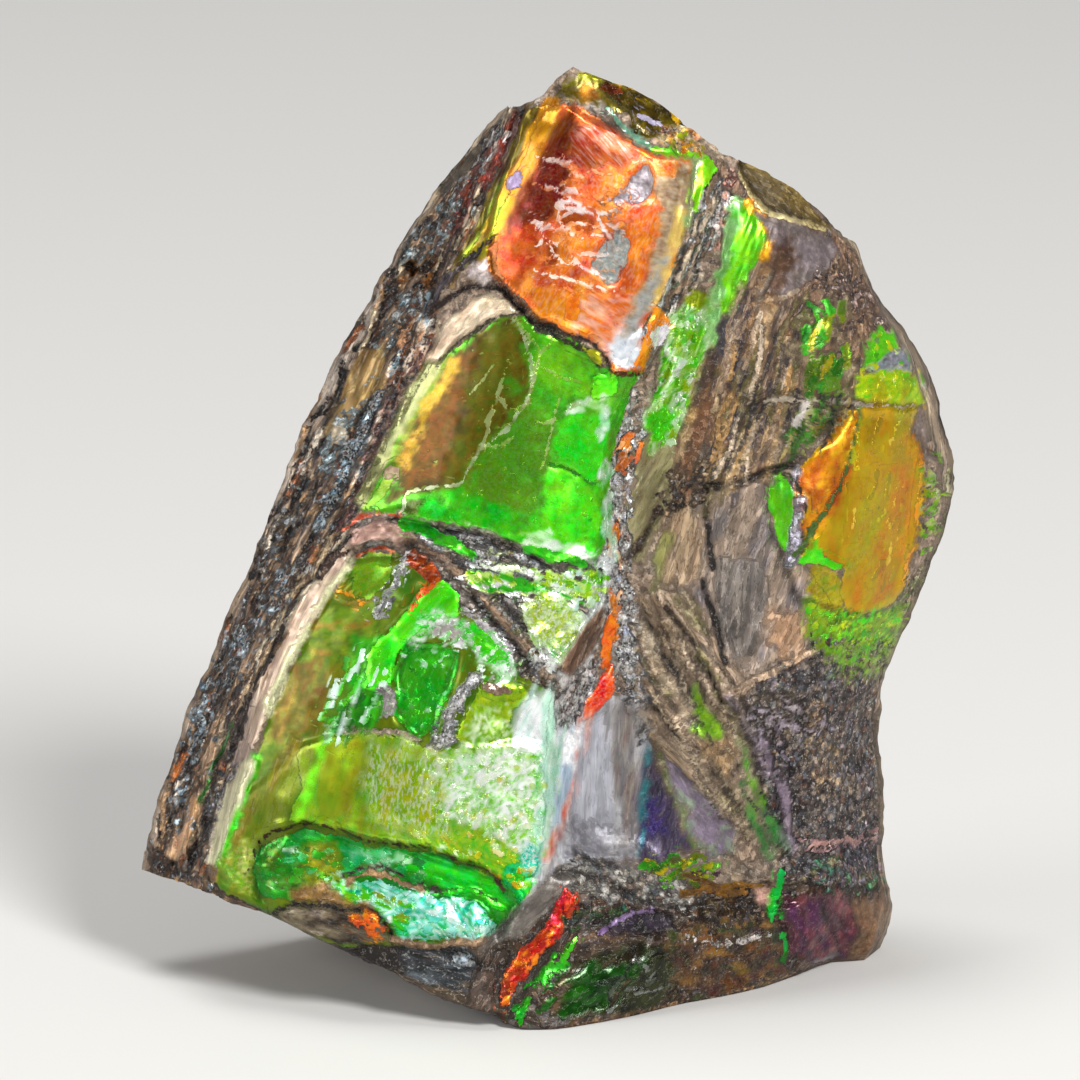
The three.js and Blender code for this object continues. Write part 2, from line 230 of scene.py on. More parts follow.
# The broken edges of the layers left of the shell, from the rim inward.
stripOutline = ("122,880 138,812 172,715 212,612 254,510 302,405 356,300 414,190 450,146 503,92 534,96 "
                "516,130 500,165 482,205 460,250 436,302 426,362 398,424 364,490 350,522 328,560 298,606 "
                "276,655 260,680 245,718 236,760 220,800 208,850 205,880 214,905 170,888")
glitter = "#0A0C12 #22344A #8CAEC4 #1A1620 #E4F4FC #3C2C2C #101018"
layeredStrip = {
    "layers": area(stripOutline, "#1A1212 #4C3A30 #8A6C52 #2C201C #B89C7E #64493A #201818 #A08262", "layered",
        size=0.42, grain="strip", stretch=0.09, relief=0.4),
    "outerRim": stroke("140,850 172,745 214,638 256,540 294,452 326,390 374,300 420,205", 12,
        "#5E5650 #8C8076 #B0A294 #786654", "shale", grain="strip", stretch=0.12, size=0.35),
    "slits": splinters(stripOutline, 120, (14, 58), (3, 5.5), "#0A0708 #1C1210 #2C1C18 #120C0E", 41,
        "layered", grain="strip", swing=8, lift=-0.16),
    "ridges": splinters(stripOutline, 110, (12, 50), (3, 5),
        "#D8C4A4 #8A5230 #B08C68 #E4D4C0 #A05C34 #9A8674", 42, "layered", grain="strip", swing=8, lift=0.1),
    "topMaroon": stroke("520,108 494,150 468,195 452,232", 15, "#3A1410 #7A2C18 #50201A #94401E", "layered",
        size=0.3, grain="strip", stretch=0.1),
    "redThreads": splinters("512,130 500,136 470,196 476,214 500,170", 9, (12, 34), (3, 4),
        "#B8401C #7A2010 #D8C4B8 #A03418", 43, "layered", grain="strip"),
    "topCrystals": chips("500,112 484,122 462,168 446,200 464,204 486,168 506,130", 46, (4, 9),
        "#5A5654 #8E8884 #C8C0BC #1E1A1C #3A3436", 44, "crystal", grain="strip", long=1.3),
    "highGlitter": chips("464,196 440,200 404,244 396,262 420,264 446,236 466,214", 54, (4, 9),
        "#0C0E12 #1E2A30 #88A4AC #D8E8EC #0A0A0C #5C5048", 45, "crystal"),
    "pits": chips("436,258 404,262 390,290 412,300 434,286", 16, (9, 18), "#2A1A12 #6A4424 #8C6440 #120C0A",
        46, "glassy", lift=-0.2),
    "midGlitter": chips("424,282 402,288 378,330 366,358 384,354 410,318 428,296", 52, (4, 9),
        "#A8C8D4 #F0FCFF #18242C #4A6470 #0C1014 #8A7458", 47, "crystal"),
    "amber": area("350,372 362,350 382,344 386,364 374,398 352,416 330,440 322,436 336,400",
        "#6A5436 #8E744C #A48C64 #7A5E38", "satin", size=0.8, grain="strip", stretch=0.3),
    "silver": chips("352,408 364,404 352,440 332,478 314,484 318,450 332,420", 60, (4, 9),
        "#A8C4CC #E8F8FC #6C8894 #4A5C64 #D0E4E8 #2A363C", 48, "crystal"),
    "silverRing": spot((338, 434), (11, 9), "#7A6C58 #B8AC98", "satin", turn=-60, lift=0.15),
    "nightBand": stroke("378,392 362,428 342,470 322,520 314,530", 12, "#0C1018 #1C2834 #10141C", "crystal",
        size=0.4, blur=1.8, relief=0.2),
    "nightGlitter": chips("382,388 368,404 342,452 308,528 320,536 348,482 372,430", 60, (3.5, 7),
        "#0C1018 #1C3044 #9CC0D8 #0A0E16 #E0F4FF #486078", 49, "crystal"),
    "knots": splinters("420,330 404,372 372,430 350,500 336,530 352,524 396,430 424,366", 70, (8, 30), (4, 7),
        "#2A1618 #6A4440 #8E6C62 #140A0C #A88A7C #4C2C2A", 50, "layered", grain="strip", swing=28,
        crevice=0.3, relief=0.1),
    "upperThreads": splinters("440,300 424,300 392,352 388,372 410,360 432,330", 26, (14, 40), (3, 4.5),
        "#B48460 #6A4434 #A8C4D0 #2A1C1A #E0C8B0 #141014", 51, "layered", grain="strip", swing=10),
    "midBeads": chips("316,484 300,480 262,540 254,584 276,566 300,520", 50, (4, 10),
        "#5C4838 #A8B4B8 #E0E8EC #3A2A22 #8A6C50 #20181A", 52, "crystal"),
    "lowGlitter": chips("300,545 282,566 250,612 228,654 246,664 264,636 288,600 306,564", 80, (4, 9),
        glitter + " #7A4828", 53, "crystal", grain="strip", long=1.3),
    "footGlitter": chips("246,630 222,636 196,700 176,752 162,804 178,810 196,764 220,706 242,664", 130,
        (4, 9), glitter, 54, "crystal", grain="strip", long=1.2),
    "wood": stroke("262,640 236,690 222,728 206,772 190,816 180,850", 17,
        "#5A3E2A #A07C5C #C8A888 #7A5A40 #B89878", "layered", size=0.35, grain="strip", stretch=0.04,
        relief=0.2),
    "tanThreads": splinters("350,530 320,552 280,604 250,668 226,730 240,742 262,682 300,610 340,560", 60,
        (20, 70), (3, 4.5), "#2E1E16 #C8B08C #8A6C4C #E4D4B8 #4A3424", 55, "layered", grain="strip", swing=4,
        lift=0.08),
    "woodSlits": splinters("252,660 236,700 206,776 184,846 204,850 226,790 246,720", 34, (22, 70),
        (2.8, 3.8), "#2A1812 #D8BC9C #4A3020 #1A100E", 56, "layered", grain="strip", swing=5),
    "ember": stroke("182,756 172,782", 7, "#C06428 #E08A4C", "layered"),
    "mossEdge": stroke("230,728 210,772 197,806 188,840", 4, "#1C5018 #2C6C22 #0E2410", "glassy"),
    "silverFoot": chips("240,734 230,756 206,806 196,836 208,838 226,800 240,766", 46, (4, 8),
        "#2A2030 #8A84A0 #C8C4D0 #141016 #5C3C34", 57, "crystal"),
    "peachCorner": area("190,796 182,832 162,856 172,864 188,838 200,806", "#C09878 #D8B494 #A88464", "satin",
        size=0.5, grain="strip", stretch=0.1, lift=0.2),
    "darkGap": area("208,812 198,832 186,858 192,866 202,850 212,826", "#140E0C #2E201A", "shale", lift=-0.5),
    "darkCorner": area("136,836 150,848 172,866 204,880 200,892 166,886 126,874", "#140C0A #2E1E16 #4A3224",
        "grainy", size=0.4, relief=0.1),
    "rimFoot": stroke("170,884 204,894 240,908 266,920", 13, "#2A201A #6A5038 #9A7850 #3A2C22", "grainy",
        size=0.4, relief=0.15),
    "sparkle": chips(stripOutline, 150, (2.8, 5), "#FFFFFF #D8E8F4 #08080C #A8C0D0 #14100E", 110, "crystal",
        grain="strip", long=1.5, crevice=0),
}
# The shell's own broken edge: thick cream layers between the strip and the coloured face.
shellEdge = {
    "layerUpper": area("345,541 326,566 310,590 293,615 283,641 272,661 258,680 248,708 242,735 250,748 "
        "262,725 275,692 290,664 308,632 326,602 346,574 356,552", "#B09C8C #C8B8A4 #A89080 #D4C4B0", "satin",
        size=0.6, grain="strip", stretch=0.06, lift=0.2, blur=1.8),
    "layerOuter": area("256,680 244,708 238,742 232,764 248,757 248,730 252,700", "#9A8478 #B4A094 #86746A",
        "satin", size=0.5, grain="strip", stretch=0.1),
    "layerLower": area("252,757 238,764 226,790 218,810 213,838 204,862 214,866 228,834 241,800 254,768",
        "#A8A088 #C8C4A4 #989078", "satin", size=0.6, grain="strip", stretch=0.1, lift=0.2),
    "crackOuter": stroke("352,534 322,566 304,590 286,617 278,640 265,662 252,684 246,712 240,740", 3.8,
        "#1D130E #32221A", "shale", lift=-0.12),
    "crackInner": stroke("348,552 336,556 326,572 318,580", 4, "#3A261C", "shale", lift=-0.15),
    "gleam": stroke("352,560 324,600 300,640 284,672 268,712", 7, "#C8C8A0 #D8D8B0", "satin", blur=3),
}

# The topmost sheet of shell, orange and scratched, with what lies round it at the peak.
topPlate = {
    "capOlive": area("552,100 566,74 602,76 628,84 632,112 600,118 560,106",
        "#40380F #584E1A #6A5E22 #4C3C0C", size=0.7),
    "capTip": area("560,84 572,62 584,76 576,86", "#6A5848 #8A7868", "shale", lift=0.1),
    "capLime": stroke("566,84 582,77 600,80", 6, "#6C6C28 #7E7830", blur=2.5),
    "capOrange": spot((587, 95), (9, 7), "#8A5408 #B87818", blur=4),
    "ledge": stroke("516,106 536,100 562,104 590,110 606,114", 10, "#6A6058 #A89C90 #C8BCB0", "grainy",
        size=0.3, relief=0.12, lift=0.15),
    "glassChip": area("602,84 628,82 649,94 668,110 684,124 673,137 649,140 633,133 628,112 610,98",
        "#221A04 #4A3C08 #7A6A28 #35300C", "glassy", size=0.7, lift=-0.9, edge=4),
    "glassRust": spot((611, 90), (11, 6), "#5A2810 #7A3818", "glassy", turn=-15),
    # painted highlight: scratchy white-lilac glare on the glass chip
    "glassHighlight": stroke("638,116 652,122 664,126", 5, "#A8A0B8 #D0C8DC", "glassy"),
    "glassRim": stroke("618,84 644,92 664,107 680,124", 4, "#B88C24 #D8A838", "glassy"),
    "saddle": area("666,128 684,126 704,144 706,156 672,152 660,140", "#C86030 #E09828 #B8A060 #D8C8B0",
        "crystal", size=0.35),
    "tealSeam": stroke("608,112 624,126 640,141 660,150 700,157", 4.6, "#5A8878 #98C0A4 #7AA898", size=0.4),
    "greenSeam": stroke("655,149 680,154 706,159", 6, "#48C818 #88E020 #60D010", size=0.3),
    "yellowLeft": area("526,110 545,106 500,190 470,252 452,290 446,282 470,232 496,180",
        "#4A3008 #6A5A08 #3C1C08 #706010", size=0.5, grain=62, stretch=0.12),
    "limeLeft": stroke("508,176 494,206 480,234 466,258", 7, "#98A808 #708C00", blur=3),
    "plate": area("545,106 564,107 585,110 612,129 633,144 654,153 693,160 690,198 678,258 659,298 642,330 "
        "643,372 610,372 606,353 586,339 561,329 537,318 526,304 513,289 495,279 487,268 490,236 510,190",
        "#BB4010 #D96014 #E17C14 #C25014", "scratched", size=1.1, grain=64, stretch=0.5),
    "plateBody": area("526,108 564,107 612,129 654,153 693,160 678,258 643,372 610,372 537,318 495,279 "
        "476,270 500,190", "", "", lift=0.7),
    "goldBand": stroke("550,106 533,150 514,190 498,222 484,250", 19, "#B87010 #D08C18 #C07C10", size=0.8,
        grain=64, stretch=0.1, blur=4),
    "limeFoot": stroke("502,206 490,232 480,250", 11, "#A8A010 #889C08", blur=4),
    "amberBand": stroke("574,112 556,150 536,192 514,232", 20, "#581804 #742A04 #8A3C0C", size=0.7, grain=64,
        stretch=0.1, blur=5),
    "lilacSpot": spot((515, 181), (9, 6), "#9080A0 #B8A8C0", "satin", turn=60, blur=1.8),
    "redTop": spot((582, 116), (14, 7), "#E05018 #F06820", "scratched", turn=-30, blur=4),
    "pinkTop": area("572,122 610,130 640,152 620,172 580,170 562,160", "#7E2C1A #9C482E #8A3822", "scratched",
        size=0.6, grain=-50, stretch=0.15, blur=5),
    "maroonMid": area("556,150 572,160 566,200 520,250 506,250 530,196", "#5E1C06 #7E2C0C #6C2408", size=0.6,
        blur=5),
    "orangeHeart": area("564,204 580,210 594,226 592,240 576,236 562,222", "#9C4404 #C05C08 #A84C04", blur=3),
    "orangeKnot": area("546,240 558,246 556,268 542,266", "#8A3804 #B05008", blur=3),
    "redLeft": area("500,236 536,224 540,246 528,282 520,296 498,272", "#B43A0A #C85010 #A0340A", size=0.8,
        blur=4),
    "orangeLow": area("526,284 560,290 610,296 606,340 560,326 536,316", "#D9701A #E89026 #D26011",
        "scratched", size=0.7, grain=64, stretch=0.3, blur=4),
    "salmonLow": area("568,300 640,294 640,345 606,350 572,330", "#D0703C #E8A084 #F0BCA8 #C86840",
        "scratched", size=0.22, grain=-28, stretch=0.06, blur=5),
    "flame": area("566,298 580,292 576,320 564,320", "#F88010"),
    "whiteFoot": area("610,340 626,332 642,334 644,366 620,368 610,356", "#A8B0B8 #E8ECF0 #C0C8D0",
        "scratched", size=0.3, grain=-28, stretch=0.2, blur=5),
    "greyA": area("632,178 648,163 656,178 652,196 640,204 618,206 606,200 622,190",
        "#8A7A80 #A8A0A4 #6A6064", "satin", size=0.35, lift=-0.08, blur=1.8),
    "greyB": area("592,268 600,250 608,232 622,227 632,244 626,264 614,284 604,284",
        "#666C6C #8E9A9A #A49C90 #787474", "satin", size=0.35, lift=-0.1, blur=1.8),
    "brownRight": area("654,158 694,160 692,198 680,250 660,292 640,330 622,336 640,290 654,240 656,200",
        "#806850 #B09A80 #967E64 #C8B498", "scratched", size=0.25, grain=-12, stretch=0.12, blur=5),
    "emberRight": area("652,160 684,162 668,176 654,172", "#E07828 #C86018", "scratched", blur=4),
    "creamLine": stroke("682,216 672,246 662,276 650,304", 13, "#C8A860 #E8CC90 #D8B878", blur=3, size=0.5,
        grain=70, stretch=0.1),
    "greyFlank": stroke("668,250 650,290 630,330", 13, "#7A7870 #A8A8A4 #8C8880", "scratched", size=0.25,
        grain=-12, stretch=0.15, blur=5),
    "limeStrip": area("697,158 714,160 717,170 704,194 695,214 692,200 696,178", "#70D808 #98F020 #60D000"),
    "mintStrip": stroke("698,160 694,196 684,226", 7, "#A0B880 #C0D0A0", blur=3),
    "orangeTag": area("654,306 662,308 670,326 656,332 652,348 644,368 634,366 642,344 648,326",
        "#F08820 #F8A040"),
    "whiteTag": area("658,326 668,326 664,344 654,350 650,340", "#D8D0DC #F0E8F0", "frosted"),
    # a dark brown line along the top plate's lower edge: its crack, darkened further as painted shadow under
    # the lip
    "lip": stroke("482,272 500,284 514,294 524,310 540,322 562,331 588,342 606,356 612,372 646,376", 3.6,
        "#4A2410 #7A4820", "shale", crevice=0),
    "saddleBits": chips("668,134 688,132 706,148 704,158 672,150", 22, (4, 8),
        "#D87828 #C8C820 #E8A040 #8A9A30 #B0A090 #5A4A38", 11, crevice=0.3),
    "rustNet": chips("600,190 632,196 628,232 604,240 590,214", 30, (4, 9),
        "#B84810 #3A1C10 #E89060 #6A5C5C #D8C0B4 #8A2C08", 12, "scratched"),
    "scratches": splinters("548,160 584,152 616,176 612,240 600,292 560,286 530,262 540,210", 40, (12, 40),
        (2.8, 3.2), "#F0D8D0 #E4B49C #FCF0EC #D89878", 13, "scratched", grain=-14, swing=16, share=0.6),
    "arcs": [
        stroke("560,204 574,202 592,214 606,232", 3.4, "#ECD8D4", "scratched", crevice=0),
        stroke("557,204 560,222 570,236", 3, "#E8C8B8", "scratched", crevice=0),
        stroke("536,248 546,240 560,262 580,268", 3, "#F0D8CC", "scratched", crevice=0),
        stroke("536,272 560,280 612,291", 3.4, "#F4DCCC", "scratched", crevice=0),
    ],
}

# Between the top plate's lip and the green shell below it.
underLip = {
    "shadow": stroke("428,316 446,300 464,288 486,287 504,292 518,308 532,324 556,330 590,343 606,358 "
        "610,370", 4, "#1A100C #3A241A #241812", "shale", lift=-0.35),
    "shadowHigh": stroke("424,312 448,280 470,258 490,238", 7, "#1C1616 #4A3C40 #2A2226", "layered", size=0.3,
        grain=50, stretch=0.1, lift=-0.15),
    "shellBit": area("473,264 488,252 488,272 494,280 484,282 470,274", "#C8B8B8 #E0D4D0", "satin", lift=0.3),
    "brownTongue": area("488,240 498,240 496,262 506,284 494,280 486,262", "#7A4420 #A05A28"),
    "creamCrescent": area("426,360 437,339 452,316 466,300 482,295 500,300 518,316 500,319 486,322 474,331 "
        "462,336 446,350 438,362", "#A8967C #D0C0A8 #BCA890 #887460", "satin", size=0.6, grain=40,
        stretch=0.3, lift=0.2),
    "crescentEdge": stroke("438,360 456,342 472,334 486,323 502,318 520,316", 3.5, "#3C3424 #5A5038", "shale",
        lift=-0.1),
    "lowerShadow": stroke("536,330 562,338 586,350 598,364", 6, "#18200C #3A3A18", "shale", lift=-0.15),
    "oliveChip": spot((593, 357), (10, 5), "#8A8A20 #B8B040", turn=-40),
}

# The green shell between the lip and the fractured belt.
upperShell = {
    "plate": area("445,352 472,336 500,320 522,318 545,332 575,340 598,366 640,372 622,420 610,480 606,540 "
        "596,566 574,568 552,562 514,544 488,534 453,522 419,518 395,516 360,510 380,460 412,400 430,365",
        "#3E9400 #4DB200 #3EA100 #5CBE00", size=1.2),
    "amberHalf": area("440,368 470,336 512,320 530,352 524,400 500,432 476,456 458,488 404,496 390,500 "
        "394,462 414,410", "#3C3200 #453B00 #503900 #413D00", "silky", size=1.0, blur=6),
    "rustHaze": area("402,470 412,430 434,388 456,352 474,348 472,384 454,432 442,482 404,492",
        "#6E3C00 #5C4400 #7A4400 #644000", "silky", size=0.7, blur=9, share=0.85),
    "oliveHaze": area("482,336 516,324 528,360 518,400 490,436 462,484 446,486 470,420",
        "#625800 #566204 #6E5A00 #4C6404", "silky", size=0.8, blur=9, share=0.8),
    "oliveGreen": area("500,432 524,404 560,430 545,500 500,520 470,500 480,460", "#4D7F00 #539400 #647B00",
        size=0.9, blur=8, share=0.8),
    "topGreen": area("540,338 572,342 596,366 590,392 556,396 534,372", "#53AE00 #67CB03 #71C203", size=0.6,
        blur=4),
    "sideGreen": area("560,420 606,410 606,470 596,490 552,462", "#33CF03 #48E006", size=0.7, blur=5),
    "footGreen": area("552,468 598,488 604,520 590,556 560,560 540,520", "#2DD404 #53ED06 #6CD403", size=0.6,
        blur=5),
    "footGreenLeft": area("404,500 460,488 480,500 540,520 550,556 514,542 450,520 404,514",
        "#23B203 #38CF06 #2D9C06", size=0.6, blur=5),
    "oliveFoot": area("404,500 424,498 420,516 402,514", "#3A4A08 #4C5C10", blur=3),
    "brightKnot": area("502,382 514,374 522,386 510,396", "#24A005", blur=4, share=0.6),
    "stepShade": stroke("550,463 572,472 596,482", 4, "#187008 #2C8C10", lift=-0.08),
    "greenRect": area("594,374 618,372 618,398 593,398", "#53E400 #6BF405", lift=0.1),
    # painted highlight: white and pale green chips where the shell's right flank catches the light
    "paintedHighlightBand": [
        chips("566,400 596,396 616,398 614,412 570,414", 18, (4, 10), "#FFFFFF #C8F0B8 #88D868 #E8FCE0", 112,
            grain=8, long=1.6, blur=2.6, share=0.85),
        chips("598,410 608,408 613,470 614,560 602,562 601,470", 46, (4, 10),
            "#FFFFFF #B8E8C0 #70C080 #E8FCEC", 113, grain=88, long=1.7, blur=2.6, share=0.8),
    ],
    # painted highlight: white and pale green chips at the upper shell's foot
    "whiteFoot": chips("524,532 552,530 560,542 592,552 594,566 560,556 528,546", 22, (6, 15),
        "#FFFFFF #C8F8B8 #88E868 #E8FFE0", 111, grain=-15, long=1.5, blur=2.6, share=0.85),
    "rimCream": stroke("443,348 422,382 400,426 382,462 364,500", 16, "#7A7A56 #8C8E66", size=0.7, grain=62,
        stretch=0.1, blur=3),
    "rimLime": stroke("452,356 432,386 412,426 394,462", 7, "#5E6A14 #6A7018", blur=3, share=0.7),
    "rimGold": stroke("456,362 436,394 416,434 402,464", 10, "#A88408 #947008", blur=5),
    "pinkNick": spot((390, 474), (7, 10), "#8A7460 #A08C74", "satin", turn=-30),
    "greenNick": area("382,480 392,478 386,496 374,508 362,512", "#4C8C10 #748C14"),
    "dust": chips("420,420 470,350 540,340 596,380 604,520 590,556 500,528 410,510", 120, (2.6, 5),
        "#7C8C50 #A8B880 #4C8C20 #8A6C28 #304C04", 105, crevice=0, share=0.5),
}

# Healed cracks: fine white lines of calcite in the green shell.
healedCracks = {
    "main": stroke("515,322 527,345 532,366 530,392 522,406 505,430 481,447 469,470 460,485 436,485 405,494 "
        "402,520", 3, "#8A9468 #C8D0B0 #6C7848", crevice=0, share=0.8),
    "others": [
        stroke(path, 2.8, "#98A468 #B8C498", crevice=0, share=0.65)
        for path in ["515,322 524,332 536,344 540,356 536,372 530,392", "507,362 493,408 486,434 477,451",
                     "491,366 482,382 470,397", "553,341 541,353 536,366 531,390", "536,366 560,380 592,384",
                     "530,420 545,424 562,418 576,404", "560,400 548,440 540,470",
                     "498,400 512,410 528,404", "481,447 500,446 512,438"]
    ],
}

# The belt where the shell is crushed: slabs of shale, crystals and bits of shell in all colours.
crushedBelt = {
    "ground": area("350,520 400,516 452,522 488,534 552,561 600,566 606,600 590,660 556,700 520,690 480,640 "
        "430,580 400,545 350,545", "#4C4038 #84766A #C0B4A8 #6A5C50 #E8E0D8", "grainy", size=0.45, grain=-35,
        stretch=0.35, relief=0.2),
    "beltFloor": area("352,524 404,517 480,533 560,566 602,560 602,600 560,660 540,655 500,600 454,565 "
        "400,560 346,566", "", "", lift=-0.7, edge=4),
    "pinkSlab": area("352,526 378,520 404,524 420,540 398,544 372,540 350,550",
        "#8A6C60 #B8988C #A08074 #C8B0A4", "satin", size=0.4, grain=20, stretch=0.4, lift=0.3),
    "redThread": stroke("346,530 362,516 384,514 404,518", 3.4, "#A85040 #D08878 #8A5040", lift=0.15),
    "rustLens": area("402,560 412,550 428,556 442,574 424,590 404,606 394,598",
        "#4A1404 #8A2C08 #A84010 #380E04", "glassy", size=0.5, lift=0.2),
    "brownRidge": stroke("412,538 452,562 484,594 506,622 534,652 556,682", 13,
        "#4C3B2E #9B8067 #735A49 #C6AD8E", "layered", size=0.4, grain=-45, stretch=0.12, relief=0.25,
        lift=0.35),
    "brownRidgeShade": stroke("474,596 500,628 530,662", 5, "#241B16 #443126", "shale", lift=-0.2),
    "greyRidge": stroke("462,612 486,628 508,652", 13, "#7A7171 #C0BCC0 #9E9797", "glassy", size=0.35),
    "mintSlab": area("524,604 550,598 572,604 588,618 584,648 566,668 546,664 528,636",
        "#95C051 #C9E8A4 #E3FAC9 #7EA835", "frosted", size=0.35, lift=0.2),
    "whiteHaze": stroke("604,560 598,596 584,640 566,674", 16, "#C8D4D4 #F4F8F8 #A8B4B8", "frosted",
        size=0.35, share=0.85, blur=5),
    "whiteKnot": spot((544, 660), (16, 10), "#F0F4F0 #C8CCC8", "frosted", turn=-40),
    "brownPit": area("520,668 548,664 558,690 546,696 524,684", "#2E221A #6A5644 #8E7C6A", "grainy",
        size=0.35, relief=0.2),
    "layers": [
        splinters("404,524 470,536 560,566 590,566 560,580 484,572 440,556", 46, (14, 50), (3.2, 6),
            "#C8C4CC #F8F8F8 #7A746C #5A5248 #8A8A90 #3A3024 #D8D4D8 #98A468", 17, "crystal", grain=-18,
            swing=7, lift=0.08, crevice=0.3, blur=1.8),
        splinters("470,564 560,574 600,572 590,604 540,600 484,590", 40, (14, 50), (3.2, 6),
            "#A8D040 #E8F8D8 #68C020 #FFFFFF #C8E890 #30A818", 106, grain=-9, swing=8, crevice=0.15),
    ],
    "bits": chips("470,590 520,596 530,640 552,668 560,700 524,690 490,640", 60, (4, 10),
        "#2A221C #E8E6E8 #8A7A68 #58A818 #B8B4B8 #5A4636 #8A7030", 18, "crystal"),
    "mintBits": chips("524,572 604,566 596,610 586,660 560,668 530,640", 70, (4, 10),
        "#FFFFFF #88C040 #E0F8D8 #58B828 #C8E8A0 #D0E8E0", 19, crevice=0.1),
    "greenRuns": [
        stroke(path, width, "#1CA010 #38C818 #108008", size=0.4, grain=-22, stretch=0.3)
        for path, width in [("404,524 430,530 452,542 472,556", 11), ("527,549 552,556 584,566", 9),
                            ("492,589 530,587", 6)]
    ],
    "limeHeart": area("528,604 550,598 574,610 572,640 556,652 536,640", "#98B818 #C8D860 #7CA010 #E8F4C8",
        "powdered", size=0.3, blur=8, share=0.75),
    "brownWedge": area("558,668 576,640 592,612 606,606 606,622 590,650 572,676", "#5A463A #7A6250 #6A5444",
        "banded", size=0.5, grain=55, stretch=0.2, blur=3),
}

